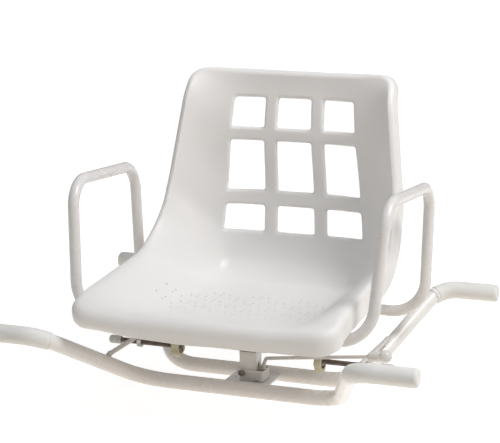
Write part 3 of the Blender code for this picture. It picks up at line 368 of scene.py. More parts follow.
# Floor and lamps; a lamp is (name, place, size, power in watts, colour)
FLOOR_HALF = 12.0
FLOOR_Z = -0.0005
LAMP_TARGET = (0.0, 0.0, 0.25)
LAMPS = (
    ("key_lamp", (1.6, -0.3, 2.5), 1.0, 46.0, (1.0, 0.99, 0.985)),
    ("top_lamp", (0.0, -0.2, 2.8), 2.0, 11.0, (0.98, 0.99, 1.0)),
    ("right_lamp", (2.4, 0.3, 1.3), 1.2, 5.6, (1.0, 0.99, 0.97)),
    ("left_lamp", (-2.2, -0.8, 1.6), 1.2, 1.7, (1.0, 1.0, 1.0)),
)

# Camera of the photograph
CAMERA_PLACE = (0.96735, -2.57647, 0.88046)
CAMERA_AZIMUTH = math.radians(20.6)
CAMERA_ELEVATION = math.radians(12.2)
CAMERA_LENS = 123.12
CAMERA_REACH = 50.0


# Arrays and meshes

def unit(vectors):
    """Vectors divided by their lengths."""
    return vectors / np.linalg.norm(vectors, axis=-1, keepdims=True)


def eased(value):
    """A smooth step: 3 v squared minus 2 v cubed, with v held between 0 and 1."""
    value = np.clip(value, 0.0, 1.0)
    return value * value * (3.0 - 2.0 * value)


def full_turn(sides):
    """Angles of a whole turn, evenly spaced."""
    return np.linspace(0.0, 2.0 * math.pi, sides, endpoint=False)


def quarter_turn(steps):
    """Angles from nought to a right angle."""
    return np.linspace(0.0, math.pi / 2.0, steps)


def grid_from(x, y, z):
    """A grid of points from three arrays, each stretched to the same rows and columns."""
    return np.stack(np.broadcast_arrays(x, y, z), axis=-1)


def grid_quads(rows, columns, around=False, along=False):
    """Corner numbers of the cells of a grid; around joins the columns' ends, along the rows'."""
    index = np.arange(rows * columns).reshape(rows, columns)
    if around:
        index = np.hstack([index, index[:, :1]])
    if along:
        index = np.vstack([index, index[:1]])
    return np.stack([index[:-1, :-1], index[:-1, 1:], index[1:, 1:], index[1:, :-1]], axis=-1)


def new_mesh(name, points, quads):
    """A mesh from whole arrays of points and four-cornered faces."""
    mesh = bpy.data.meshes.new(name)
    mesh.vertices.add(len(points))
    mesh.vertices.foreach_set("co", np.asarray(points, dtype=np.float32).ravel())
    mesh.loops.add(quads.size)
    mesh.loops.foreach_set("vertex_index", quads.astype(np.int32).ravel())
    mesh.polygons.add(len(quads))
    mesh.polygons.foreach_set("loop_start", np.arange(0, quads.size, 4, dtype=np.int32))
    mesh.update(calc_edges=True)
    mesh.validate()
    return mesh


def placed(name, data):
    """A new object at the origin for a mesh, a lamp or a camera."""
    thing = bpy.data.objects.new(name, data)
    bpy.context.scene.collection.objects.link(thing)
    return thing


def piece(name, grids, around=True, along=False):
    """An object from one grid of points, or several, with doubled points merged."""
    grids = grids if isinstance(grids, list) else [grids]
    points, quads, start = [], [], 0
    for grid in grids:
        rows, columns, _ = grid.shape
        points.append(grid.reshape(-1, 3))
        quads.append(grid_quads(rows, columns, around, along).reshape(-1, 4) + start)
        start += rows * columns
    mesh = new_mesh(name, np.vstack(points), np.vstack(quads))
    bm = bmesh.new()
    bm.from_mesh(mesh)
    bmesh.ops.remove_doubles(bm, verts=bm.verts, dist=SAME_POINT)
    bmesh.ops.dissolve_degenerate(bm, edges=bm.edges, dist=NO_LENGTH)
    bmesh.ops.recalc_face_normals(bm, faces=bm.faces)
    bm.to_mesh(mesh)
    bm.free()
    return placed(name, mesh)


def baked(thing):
    """Apply the modifiers, and shade smooth between sharp edges."""
    graph = bpy.context.evaluated_depsgraph_get()
    mesh = bpy.data.meshes.new_from_object(thing.evaluated_get(graph))
    mesh.name = thing.name
    thing.modifiers.clear()
    thing.data = mesh
    mesh.shade_smooth()
    mesh.set_sharp_from_angle(angle=SHARP_ANGLE)


def painted(mesh, material):
    """Give a mesh one material in place of what it has."""
    mesh.materials.clear()
    mesh.materials.append(material)


def dressed(thing, finish, body, *nodes):
    """Give a finished piece its material and its body, and hide the CAD nodes it stands for."""
    baked(thing)
    material, slot = finish
    painted(thing.data, material)
    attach(thing, body)
    if nodes:
        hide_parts(*nodes)


def show(name, grids, finish, body, *nodes, along=False):
    """Build a piece that needs no wall or cut, and dress it."""
    dressed(piece(name, grids, along=along), finish, body, *nodes)


def walled(thing, thickness, offset=-1.0):
    """A wall of even thickness behind an open surface, or with offset 0 on both its sides."""
    wall = thing.modifiers.new("wall", "SOLIDIFY")
    wall.thickness = thickness
    wall.offset = offset
    wall.use_even_offset = True
    return thing


def softened(thing, width, degrees):
    """Small rounds along the edges that turn by more than an angle."""
    bevel = thing.modifiers.new("round", "BEVEL")
    bevel.width = width
    bevel.segments = 2
    bevel.limit_method = "ANGLE"
    bevel.angle_limit = math.radians(degrees)


def cut(thing, name, tool):
    """Cut one closed tool out of a piece, and drop the tool."""
    step = thing.modifiers.new(name, "BOOLEAN")
    step.operation = "DIFFERENCE"
    step.solver = "EXACT"
    step.object = tool
    baked(thing)
    bpy.data.objects.remove(tool, do_unlink=True)


# Routes and profiles

def bent_route(corners, bends, turn_step=TURN_STEP):
    """Points through corners, each inner corner turned into an arc.

    An arc's point is its start plus R (1 - cos a) times the inward normal, plus
    R sin(a) times the direction of arrival, for a from 0 to the whole turn.
    """
    corners = np.array(corners)
    points = [corners[:1]]
    for before, corner, after, radius in zip(corners, corners[1:], corners[2:], bends):
        arrive, leave = unit(corner - before), unit(after - corner)
        turn = math.acos(float(arrive @ leave))
        inward = unit(leave - arrive * (arrive @ leave))
        start = corner - arrive * radius * math.tan(turn / 2.0)
        angles = np.linspace(0.0, turn, max(3, math.ceil(turn / turn_step) + 1))[:, None]
        points.append(start + inward * radius * (1.0 - np.cos(angles)) + arrive * radius * np.sin(angles))
    points.append(corners[-1:])
    return np.vstack(points)


def distances(points):
    """Distance travelled along a route, at each of its points."""
    return np.concatenate([[0.0], np.cumsum(np.linalg.norm(np.diff(points, axis=0), axis=1))])


def part_of_route(points, places):
    """The route's points at given distances along it."""
    travelled = distances(points)
    return np.stack([np.interp(places, travelled, points[:, k]) for k in range(3)], axis=1)


def sections(centres, tangent, up, reach, sides):
    """Round sections square to a tangent: centre + reach (cos a side + sin a rise).

    The reach may change from centre to centre.  Side is the tangent crossed with
    the up direction, and rise is square to both.
    """
    side = unit(np.cross(tangent, up))
    rise = np.cross(side, tangent)
    angle = full_turn(sides)[None, :, None]
    reach = np.broadcast_to(reach, len(centres))[:, None, None]
    return centres[:, None] + reach * (np.cos(angle) * side[:, None] + np.sin(angle) * rise[:, None])


def carried(route, reach, up, sides):
    """A round section carried along a route, square to the route's own direction."""
    return sections(route, unit(np.gradient(route, axis=0)), up, reach, sides)


def capped(rings):
    """Rings of a bar with a flat end at each side."""
    return np.concatenate([np.broadcast_to(rings[:1].mean(1, keepdims=True), rings[:1].shape), rings,
                           np.broadcast_to(rings[-1:].mean(1, keepdims=True), rings[-1:].shape)])


def directions_about(axis):
    """An axis of length one, and two directions square to it and to each other."""
    along = unit(np.array(axis, dtype=float))
    side = unit(np.cross(along, Z_AXIS if abs(along[2]) < NEARLY_UPRIGHT else Y_AXIS))
    return along, side, np.cross(side, along)


def turned(place, axis, profile, sides, shape=None):
    """A profile of (distance along, reach) turned about an axis.

    Where a shape is given, it is a function of angle that limits the reach, so
    that a hexagon is a disc cut back by its six flats.
    """
    along, side, rise = directions_about(axis)
    angle = full_turn(sides)
    profile = np.array(profile)
    reach = np.repeat(profile[:, 1:], sides, axis=1)
    if shape is not None:
        reach = np.minimum(reach, shape(angle)[None, :])
    ring = np.cos(angle)[:, None] * side + np.sin(angle)[:, None] * rise
    return np.array(place) + profile[:, :1, None] * along + reach[..., None] * ring[None]


def hexagon(across_flats):
    """Reach of a hexagon: half its width over the cosine of the angle off a flat."""
    def reach(angle):
        off = (angle + math.pi / 6.0) % (math.pi / 3.0) - math.pi / 6.0
        return across_flats / 2.0 / np.cos(off)
    return reach


def rounded_edge(at, reach, edge, steps):
    """A quarter circle from a face out to a side: (at + e (1 - cos t), reach - e (1 - sin t))."""
    turns = quarter_turn(steps)
    return np.column_stack([at + edge * (1.0 - np.cos(turns)), reach - edge * (1.0 - np.sin(turns))])


def rounded_end(at, reach, edge, steps):
    """A quarter circle from a side in to a far face: (at - e (1 - cos t), reach - e (1 - sin t))."""
    return (rounded_edge(-at, reach, edge, steps) * (-1.0, 1.0))[::-1]


def round_profile(length, reach, edge, steps=5):
    """Profile of a disc or bar with rounded edges, from its centre and back to it."""
    low, high = rounded_edge(0.0, reach, edge, steps), rounded_end(length, reach, edge, steps)
    return np.vstack([[(0.0, 0.0)], low, high, [(length, 0.0)]])


def prism(place, axis, reach, length, sides):
    """A closed bar with sharp ends, for cutting a hole."""
    return turned(place, axis, [(0.0, 0.0), (0.0, reach), (length, reach), (length, 0.0)], sides)


def hexagon_head(place, axis, across_flats, height, bore=0.0):
    """A nut or bolt head: a hexagon, cut back by a cone at its two faces."""
    corner = across_flats / math.sqrt(3.0)
    face = across_flats * HEAD_FACE_SHARE
    cone = (corner - face) * HEAD_CONE_RISE
    profile = [(0.0, bore), (0.0, face), (cone, corner),
               (height - cone, corner), (height, face), (height, bore)]
    return turned(place, axis, profile, HEAD_SIDES, hexagon(across_flats))


def rounded_box(width, depth, corner):
    """Outline of a rectangle with round corners, as an array of (x, y)."""
    parts = []
    for quarter, (sx, sy) in enumerate(((1, -1), (1, 1), (-1, 1), (-1, -1))):
        middle = np.array([sx * (width / 2.0 - corner), sy * (depth / 2.0 - corner)])
        angle = quarter_turn(CORNER_STEPS) + math.pi / 2.0 * (quarter - 1)
        parts.append(middle + corner * np.stack([np.cos(angle), np.sin(angle)], axis=1))
    return np.vstack(parts)


def block(low, high, corner, edge):
    """A plate or post between two corners, with round corners in plan and eased edges.

    Level by level, the outline is drawn in by edge (1 - sin t) at a height of
    edge (1 - cos t), and it closes in the middle at both ends.
    """
    low, high = np.array(low), np.array(high)
    middle, size = (low + high) / 2.0, high - low
    bottom, top = rounded_edge(low[2], 0.0, edge, EDGE_STEPS), rounded_end(high[2], 0.0, edge, EDGE_STEPS)
    rows = []
    for z, growth in np.vstack([bottom, top]):
        outline = rounded_box(size[0] + 2.0 * growth, size[1] + 2.0 * growth, corner + growth)
        rows.append(np.column_stack([outline + middle[:2], np.full(len(outline), z)]))
    hubs = [np.broadcast_to(np.array([*middle[:2], z]), rows[0].shape) for z in (low[2], high[2])]
    return np.stack([hubs[0], *rows, hubs[1]])


def weld_ring(place, axis, reach, thickness):
    """A weld bead: a ring whose thickness ripples as it goes round."""
    along, side, rise = directions_about(axis)
    around = full_turn(RING_STEPS)[:, None, None]
    section = full_turn(BEAD_SIDES)[None, :, None]
    ray = np.cos(around) * side + np.sin(around) * rise
    fat = thickness * (1.0 + RING_RIPPLE * np.sin(RING_LUMPS * around) * np.cos(2.0 * around))
    return np.array(place) + ray * (reach + fat * np.cos(section)) + along * fat * np.sin(section)


def weld_line(start, end, thickness):
    """A straight weld bead: a half-round rib with ripples every few millimetres."""
    start, end = np.array(start), np.array(end)
    ripples = np.linalg.norm(end - start) / RIPPLE_PITCH
    places = np.linspace(0.0, 1.0, int(ripples * RIPPLE_STEPS))
    swell = np.clip(np.sin(math.pi * places), 0.0, None) ** LINE_TAPER
    reach = thickness * swell * (1.0 + LINE_RIPPLE * np.sin(2.0 * math.pi * places * ripples))
    return carried(start + (end - start) * places[:, None], reach, Z_AXIS, BEAD_SIDES)


# Node materials

class Tree:
    """A node tree with short calls for adding nodes and joining them."""

    def __init__(self, tree):
        self.tree = tree

    def feed(self, node, inputs):
        """Fill a node's inputs: a socket's name or number leads to a value or to another output."""
        for key, value in inputs.items():
            socket = node.inputs[key]
            if isinstance(value, bpy.types.NodeSocket):
                self.tree.links.new(value, socket)
            elif socket.type == "RGBA":
                socket.default_value = (*value, 1.0)
            else:
                socket.default_value = value

    def add(self, kind, inputs=None, **settings):
        """A node with its settings and its inputs."""
        node = self.tree.nodes.new(kind)
        for name, value in settings.items():
            setattr(node, name, value)
        self.feed(node, inputs or {})
        return node

    def math(self, operation, first, second, clamp=False):
        """The result of one sum."""
        inputs = {0: first, 1: second}
        return self.add("ShaderNodeMath", inputs, operation=operation, use_clamp=clamp).outputs[0]

    def noise(self, place, scale, detail, rough=0.55):
        """Soft noise at a number of cells per metre."""
        inputs = {"Vector": place, "Scale": scale, "Detail": detail, "Roughness": rough}
        return self.add("ShaderNodeTexNoise", inputs).outputs["Fac"]

    def span(self, value, low, high, to_low=0.0, to_high=1.0):
        """A value's stretch from low to high, spread over another stretch."""
        inputs = {"Value": value, "From Min": low, "From Max": high, "To Min": to_low, "To Max": to_high}
        return self.add("ShaderNodeMapRange", inputs).outputs["Result"]

    def mix(self, share, first, second):
        """Two colours mixed by a share."""
        return self.add("ShaderNodeMix", {0: share, 6: first, 7: second}, data_type="RGBA").outputs[2]

    def effect(self, group, inputs):
        """One use of a shared effect, with its own values."""
        return self.add("ShaderNodeGroup", inputs, node_tree=group).outputs

    def bumped(self, height, strength, distance):
        """The surface's direction, tilted by a height in units of distance."""
        inputs = {"Height": height, "Strength": strength, "Distance": distance}
        return self.add("ShaderNodeBump", inputs).outputs[0]


def new_group(name, inputs, outputs):
    """An empty node group with named sockets: its Tree, its given values and its end node."""
    group = bpy.data.node_groups.new(name, "ShaderNodeTree")
    for side, sockets in (("INPUT", inputs), ("OUTPUT", outputs)):
        for label, kind in sockets.items():
            group.interface.new_socket(name=label, in_out=side, socket_type="NodeSocket" + kind)
    tree = Tree(group)
    return tree, tree.add("NodeGroupInput").outputs, tree.add("NodeGroupOutput")


def cloudy_group():
    """Slow, faint changes of shade over a surface, as moulding and coating leave them."""
    inputs = {"Place": "Vector", "Colour": "Color", "Tint": "Color", "Scale": "Float", "Amount": "Float"}
    tree, given, result = new_group("cloudy", inputs, {"Colour": "Color", "Mask": "Float"})
    broad = tree.noise(given["Place"], given["Scale"], 2.0)
    fine = tree.noise(given["Place"], tree.math("MULTIPLY", given["Scale"], 7.0), 3.0)
    both = tree.math("ADD", tree.math("MULTIPLY", broad, 0.7), tree.math("MULTIPLY", fine, 0.3))
    mask = tree.span(both, 0.36, 0.66)
    share = tree.math("MULTIPLY", mask, given["Amount"])
    tree.feed(result, {"Colour": tree.mix(share, given["Colour"], given["Tint"]), "Mask": mask})
    return tree.tree


def peel_group():
    """Height of an orange-peel skin: fine cells under a broader swell."""
    inputs = {"Place": "Vector", "Scale": "Float", "Swell": "Float"}
    tree, given, result = new_group("orange_peel", inputs, {"Height": "Float"})
    place, scale = given["Place"], given["Scale"]
    cells = tree.add("ShaderNodeTexVoronoi", {"Vector": place, "Scale": scale}, feature="SMOOTH_F1")
    swell = tree.noise(place, tree.math("MULTIPLY", scale, 0.12), 2.0)
    height = tree.math("ADD", cells.outputs["Distance"], tree.math("MULTIPLY", swell, given["Swell"]))
    tree.feed(result, {"Height": height})
    return tree.tree


def scuff_group():
    """A mask of thin, broken scratches in two directions, thicker where noise gathers them."""
    inputs = {"Place": "Vector", "Scale": "Float", "Amount": "Float"}
    tree, given, result = new_group("scuffs", inputs, {"Mask": "Float"})
    masks = []
    for factors, turn in (((1.0, 14.0, 3.0), 0.5), ((12.0, 1.0, 4.0), 1.1)):
        turned_place = {"Vector": given["Place"], "Scale": factors, "Rotation": (0.3, turn, turn)}
        mapping = tree.add("ShaderNodeMapping", turned_place)
        lines = tree.noise(mapping.outputs[0], given["Scale"], 2.0, 0.4)
        masks.append(tree.span(lines, 0.66, 0.74))
    gather = tree.span(tree.noise(given["Place"], 16.0, 2.0), 0.50, 0.70)
    both = tree.math("MULTIPLY", tree.math("MAXIMUM", *masks), gather)
    tree.feed(result, {"Mask": tree.math("MULTIPLY", both, given["Amount"], clamp=True)})
    return tree.tree


def low_grime_and_shade_group():
    """A mask that darkens a piece low down and in patches: settled soiling on some finishes, painted shade
    on others.
    """
    inputs = {"Place": "Vector", "Low": "Float", "High": "Float", "Amount": "Float"}
    tree, given, result = new_group("low_grime_and_shade", inputs, {"Mask": "Float"})
    parts = tree.add("ShaderNodeSeparateXYZ", {0: given["Place"]})
    height = tree.span(parts.outputs["Z"], given["High"], given["Low"])
    patch = tree.span(tree.noise(given["Place"], 45.0, 4.0, 0.65), 0.40, 0.75)
    both = tree.math("MULTIPLY", height, patch)
    tree.feed(result, {"Mask": tree.math("MULTIPLY", both, given["Amount"], clamp=True)})
    return tree.tree


CLOUDY = cloudy_group()
PEEL = peel_group()
SCUFFS = scuff_group()
LOW_GRIME_AND_SHADE = low_grime_and_shade_group()


def new_material(name):
    """A material with a Principled shader, its Tree, and Object coordinates."""
    material = bpy.data.materials.new(name)
    material.use_nodes = True
    tree = Tree(material.node_tree)
    shader = material.node_tree.nodes["Principled BSDF"]
    place = tree.add("ShaderNodeTexCoord").outputs["Object"]
    return material, tree, shader, place


def coated(name, slot, colour, tint, roughness, peel, cloud, scuffs, grime_and_shade=(0.0, 0.02, 0.0), coat=0.0,
           specular=0.5, soft=0.0):
    """A painted, moulded or rubbery finish, as its material and its slot.

    Colour goes cloudy towards the tint, scuffs turn it dull and a little
    darker, and a darker band lies between two heights: settled soiling on
    some finishes, painted shade on the armrests, post and rocker.  Peel is
    (cells per metre, depth in metres of the skin's relief), cloud is (cells
    per metre, amount), and the band is (low, high, amount).
    """
    material, tree, shader, place = new_material(name)
    cells, amount = cloud
    clouds = {"Place": place, "Colour": colour, "Tint": tint, "Scale": cells, "Amount": amount}
    shade = tree.effect(CLOUDY, clouds)
    worn = tree.effect(SCUFFS, {"Place": place, "Scale": 55.0, "Amount": scuffs})["Mask"]
    # Darker band low down, in patches: settled soiling on some finishes, painted shade on the armrests, post
    # and rocker; it also dulls the surface.
    low, high, amount = grime_and_shade
    grime_and_shade_mask = tree.effect(LOW_GRIME_AND_SHADE, {"Place": place, "Low": low, "High": high, "Amount": amount})["Mask"]
    darker = tree.mix(tree.math("MULTIPLY", worn, 0.10), shade["Colour"], tuple(0.75 * c for c in colour))
    rough = tree.span(shade["Mask"], 0.0, 1.0, roughness * 0.88, roughness * 1.12)
    rough = tree.math("ADD", rough, tree.math("MULTIPLY", worn, 0.14))
    rough = tree.math("ADD", rough, tree.math("MULTIPLY", grime_and_shade_mask, 0.3), clamp=True)
    cells, depth = peel
    skin = tree.effect(PEEL, {"Place": place, "Scale": cells, "Swell": 0.6})["Height"]
    tree.feed(shader, {
        "Base Color": tree.mix(grime_and_shade_mask, darker, GRIME_AND_SHADE_COLOUR), "Roughness": rough,
        "Normal": tree.bumped(skin, 0.6, depth), "Specular IOR Level": specular,
        "Coat Weight": coat, "Coat Roughness": 0.12, "Subsurface Weight": soft,
        "Subsurface Radius": (0.006, 0.005, 0.004), "Subsurface Scale": 1.0})
    return material, slot


def metal(name, slot, colour, stain, roughness, grain, stain_share):
    """Plain steel: fine drawn grain, stains in patches, duller where stained.

    The grain's three factors squeeze the noise, so its lines run along the axis whose factor is 1.
    """
    material, tree, shader, place = new_material(name)
    patch = tree.span(tree.noise(place, 85.0, 5.0, 0.6), 0.42, 0.66)
    patch = tree.math("MULTIPLY", patch, stain_share)
    drawn = tree.add("ShaderNodeMapping", {"Vector": place, "Scale": grain}).outputs[0]
    lines = tree.noise(drawn, 300.0, 2.0)
    base = tree.mix(tree.span(lines, 0.3, 0.7, 0.0, 0.35), colour, tuple(1.5 * c for c in colour))
    rough = tree.span(lines, 0.3, 0.7, roughness * 0.85, roughness * 1.15)
    rough = tree.math("ADD", rough, tree.math("MULTIPLY", patch, 0.25), clamp=True)
    tree.feed(shader, {
        "Base Color": tree.mix(patch, base, stain), "Roughness": rough,
        "Metallic": tree.span(patch, 0.0, 1.0, 0.95, 0.35), "Normal": tree.bumped(lines, 0.35, 0.00005)})
    return material, slot


# Colour of that darker band: soiling where it is real, painted shade on the armrests, post and rocker.
GRIME_AND_SHADE_COLOUR = (0.30, 0.27, 0.22)
TUBE_SKIN = (1100.0, 0.00006)
PLATE_SKIN = (900.0, 0.00009)

SHELL_PLASTIC = coated(
    "moulded_shell", "moulded_plastic", (0.818, 0.808, 0.798), (0.800, 0.788, 0.774), 0.42,
    (1500.0, 0.00002), (5.0, 0.6), 0.12, coat=0.03, soft=0.03)
TUBE_PAINT = coated(
    "tube_powder_coat", "painted_steel", (0.800, 0.786, 0.775), (0.760, 0.744, 0.730), 0.27, TUBE_SKIN,
    (14.0, 0.6), 0.5, (0.0, 0.03, 0.04), coat=0.3)
# The armrests' band from 0.12 to 0.24 m is painted shade: it darkens their lower bends as if shadowed under
# the seat.
ARM_PAINT = coated(
    "armrest_powder_coat", "painted_steel", (0.765, 0.752, 0.745), (0.715, 0.700, 0.692), 0.27, TUBE_SKIN,
    (14.0, 0.6), 0.7, (0.12, 0.24, 0.30), coat=0.3)
# The band from 0.010 to 0.045 m is painted shade: it darkens the post and the rocker low down, as the shadow
# under the rocker would.
PLATE_PAINT = coated(
    "plate_powder_coat", "painted_steel", (0.740, 0.730, 0.715), (0.68, 0.665, 0.64), 0.32, PLATE_SKIN,
    (25.0, 0.7), 0.8, (0.010, 0.045, 0.35), coat=0.2)
BASE_PAINT = coated(
    "base_plate_coat", "painted_steel", (0.850, 0.862, 0.880), (0.800, 0.812, 0.830), 0.30, PLATE_SKIN,
    (25.0, 0.6), 0.5, (0.0, 0.012, 0.06), coat=0.3)
BAR_PAINT = coated(
    "thin_bar_coat", "painted_steel", (0.635, 0.615, 0.598), (0.575, 0.556, 0.538), 0.30, TUBE_SKIN,
    (18.0, 0.6), 0.6, coat=0.3)
GRIP_VINYL = coated(
    "grip_vinyl", "grip_rubber", (0.800, 0.800, 0.788), (0.745, 0.745, 0.715), 0.48, (2200.0, 0.00008),
    (18.0, 0.7), 0.9, specular=0.4, soft=0.06)
KNOB_VINYL = coated(
    "knob_vinyl", "knob_plastic", (0.670, 0.675, 0.660), (0.610, 0.612, 0.590), 0.42, (2200.0, 0.00006),
    (30.0, 0.6), 0.9, specular=0.4, soft=0.05)
# The wheels darken towards their lower edge, in patches.
WHEEL_PLASTIC = coated(
    "cream_wheel", "wheel_plastic", (0.620, 0.590, 0.430), (0.53, 0.50, 0.34), 0.45, (1600.0, 0.00008),
    (40.0, 0.8), 0.8, (0.038, 0.080, 0.25), soft=0.05)
# The cups' dark brown is partly the insert's own colour and partly painted shade of the recess.
RECESS_PLASTIC_AND_SHADE = coated(
    "wheel_recess", "wheel_plastic", (0.300, 0.235, 0.150), (0.19, 0.15, 0.10), 0.55, (1600.0, 0.0001),
    (60.0, 0.8), 0.5)
TIP_RUBBER = coated(
    "tip_rubber", "tip_rubber", (0.600, 0.610, 0.595), (0.50, 0.505, 0.49), 0.62, (2600.0, 0.00012),
    (50.0, 0.7), 0.6, specular=0.3)
BUSH_PLASTIC = coated(
    "bush_black", "bush_plastic", (0.060, 0.060, 0.060), (0.09, 0.09, 0.09), 0.45, (2000.0, 0.00005),
    (9.0, 0.5), 0.8)
SCREW_STEEL = metal(
    "screw_steel", "plain_steel", (0.230, 0.190, 0.165), (0.10, 0.075, 0.055), 0.36, (1.0, 9.0, 9.0), 0.6)
BOLT_STEEL = metal(
    "bolt_steel", "plain_steel", (0.250, 0.225, 0.200), (0.12, 0.095, 0.07), 0.34, (6.0, 6.0, 1.0), 0.6)
DISC_STEEL = metal(
    "disc_steel", "plain_steel", (0.420, 0.410, 0.390), (0.20, 0.17, 0.13), 0.30, (1.0, 8.0, 8.0), 0.4)
NUT_STEEL = metal(
    "nut_steel", "painted_steel", (0.520, 0.505, 0.480), (0.30, 0.27, 0.23), 0.38, (5.0, 1.0, 5.0), 0.5)


# Frame

def frame_route(end):
    """Route of a frame tube: level over one rim, down its slope, flat, up and level again."""
    reach = HALF_SPAN - GRIP_END - FIT
    high = TUBE_R + FRAME_RISE
    corners = [
        (-reach, end * RIM_Y, high), (-SHOULDER_X, end * RIM_Y, high), (-FOOT_X, end * FLAT_Y, TUBE_R),
        (FOOT_X, end * FLAT_Y, TUBE_R), (SHOULDER_X, end * RIM_Y, high), (reach, end * RIM_Y, high),
    ]
    return bent_route(corners, [HIGH_BEND, LOW_BEND, LOW_BEND, HIGH_BEND])


def make_frame_tubes():
    """Two smooth tubes with open ends inside their grips."""
    for end_name, end in ENDS.items():
        tube = piece(end_name + "_tube", carried(frame_route(end), TUBE_R, Z_AXIS, TUBE_SIDES))
        dressed(walled(tube, TUBE_WALL), TUBE_PAINT, "frame", end_name + "_frame_tube")


def grip_profile(start, tip):
    """Places along the route and reach of a sleeve: rolled lip, collar line, plain body, rounded end."""
    bore = TUBE_R + FIT
    collar = start + GRIP_COLLAR_AT
    lip = rounded_edge(start, GRIP_R - GRIP_LIP_DROP, GRIP_LIP, GRIP_STEPS)
    body = np.linspace(collar + GRIP_BODY_GAP, tip - GRIP_EDGE - GRIP_END_GAP, GRIP_BODY_RINGS)
    body = np.column_stack([body, np.full(GRIP_BODY_RINGS, GRIP_R)])
    end = rounded_end(tip, GRIP_R, GRIP_EDGE, GRIP_STEPS)
    profile = [[(start + GRIP_MOUTH_DEPTH, bore), (start, bore)], lip, GRIP_COLLAR + (collar, GRIP_R),
               body, end, [(tip, GRIP_R * GRIP_FACE_SHARE), (tip, 0.0)]]
    return np.vstack(profile).T


def make_grips():
    """Vinyl sleeves: the grip's profile carried along the end of each tube.

    Each ring stands square to the nearest stretch of the route, which runs on
    straight past the tube's end for the sleeve's closed end.
    """
    for end_name, end in ENDS.items():
        for side_name, side in SIDES.items():
            route = frame_route(end)
            route = route if side > 0 else route[::-1]
            total = distances(route)[-1]
            longer = np.vstack([route, route[-1] + unit(route[-1] - route[-2]) * GRIP_OVERRUN])
            places, reach = grip_profile(total - GRIP_LENGTH, total + FIT + GRIP_END)
            centres = part_of_route(longer, places)
            fine_start = total - GRIP_LENGTH - GRIP_END_GAP
            fine = part_of_route(longer, np.linspace(fine_start, total + GRIP_OVERRUN, GRIP_FINE_STEPS))
            nearest = np.argmin(np.linalg.norm(centres[:, None] - fine[None], axis=2), axis=1)
            tangent = unit(np.gradient(fine, axis=0))[nearest]
            sleeve = sections(centres, tangent, Z_AXIS, reach, SLEEVE_SIDES)
            name = end_name + "_" + side_name
            show(name + "_sleeve", sleeve, GRIP_VINYL, "frame", name + "_grip")


def make_struts():
    """Round bars welded on the slopes of the tubes, each with a nut welded under it."""
    for side_name, side in SIDES.items():
        low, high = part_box(side_name + "_strut")
        x = side * STRUT_X
        profile = round_profile(high[1] - low[1], STRUT_R, STRUT_EDGE)
        bar = turned((x, low[1], STRUT_Z), Y_AXIS, profile, BAR_SIDES)
        show(side_name + "_bar", bar, BAR_PAINT, "frame", side_name + "_strut")
        weld_y = high[1] - STRUT_WELD_INSET
        beads = [weld_ring((x, y, STRUT_Z), Y_AXIS, STRUT_R, STRUT_WELD) for y in (-weld_y, weld_y)]
        show(side_name + "_bar_welds", beads, BAR_PAINT, "frame", along=True)
        low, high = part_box(side_name + "_screw_nut")
        length = high[0] - low[0]
        nut = hexagon_head((low[0], 0.0, ADJUSTER_Z), X_AXIS, high[1] - low[1], length, SCREW_R + FIT)
        show(side_name + "_welded_nut", nut, NUT_STEEL, "frame", side_name + "_screw_nut", along=True)
        z = STRUT_Z - STRUT_R - FIT / 2
        seams = [weld_line((low[0] + inset, -NUT_SEAM_HALF, z), (low[0] + inset, NUT_SEAM_HALF, z), NUT_SEAM)
                 for inset in (NUT_SEAM_INSET, length - NUT_SEAM_INSET)]
        show(side_name + "_nut_welds", seams, TUBE_PAINT, "frame")


def make_base_plate():
    """The plate between the tubes, with a weld along each tube and beside the post."""
    low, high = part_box("base_plate")
    show("post_plate", block(low, high, *PLATE_ROUNDS), BASE_PAINT, "frame", "base_plate")
    left, right, top = low[0] + PLATE_SEAM_INSET, high[0] - PLATE_SEAM_INSET, high[2]
    tube_y = FLAT_Y - TUBE_R
    seams = [weld_line((left, y, top), (right, y, top), PLATE_SEAM) for y in (-tube_y, tube_y)]
    post_x = POST_SIDE / 2.0 + POST_SEAM_GAP
    seams += [weld_line((x, -POST_SEAM_HALF, top), (x, POST_SEAM_HALF, top), POST_SEAM)
              for x in (post_x, -post_x)]
    show("plate_welds", seams, BASE_PAINT, "frame")


def pivot_drill(name):
    """The round cutter for the rocker's pivot, along Y."""
    start = (PIVOT[0], -POST_SIDE, PIVOT[2])
    return piece(name, prism(start, Y_AXIS, PIVOT_HOLE_R, 2.0 * POST_SIDE, SHANK_SIDES))


def make_post():
    """The square post: rounded corners outside and inside, a slot and a hole for the pivot."""
    low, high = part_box("swivel_post")
    post = piece("square_post", block(low, high, *POST_ROUNDS))
    inner = POST_SIDE / 2.0 - POST_WALL
    bore_low, bore_high = (-inner, -inner, low[2] - BORE_OVERRUN), (inner, inner, high[2] + BORE_OVERRUN)
    cut(post, "bore", piece("post_bore", block(bore_low, bore_high, *CUTTER_ROUNDS)))
    width, slot_low, slot_high = SLOT
    slot = block((0.0, -width / 2, slot_low), (POST_SIDE, width / 2, slot_high), *CUTTER_ROUNDS)
    cut(post, "slot", piece("post_slot", slot))
    cut(post, "pin", pivot_drill("post_pin"))
    softened(post, CUT_ROUND, CUT_ANGLE)
    dressed(post, PLATE_PAINT, "frame", "swivel_post")


def make_bush_flange():
    """The flange of the post's bush, the only part of it that shows."""
    low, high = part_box("bearing_bush")
    flange_z = high[2] - FLANGE_THICKNESS
    flange = piece("bush_flange", block((low[0], low[1], flange_z), high, *FLANGE_ROUNDS))
    start = (0.0, 0.0, flange_z - BORE_OVERRUN)
    hole = prism(start, Z_AXIS, FLANGE_HOLE_R, 2.0 * BORE_OVERRUN, TUBE_SIDES)
    cut(flange, "hole", piece("bush_hole", hole))
    dressed(flange, BUSH_PLASTIC, "frame")


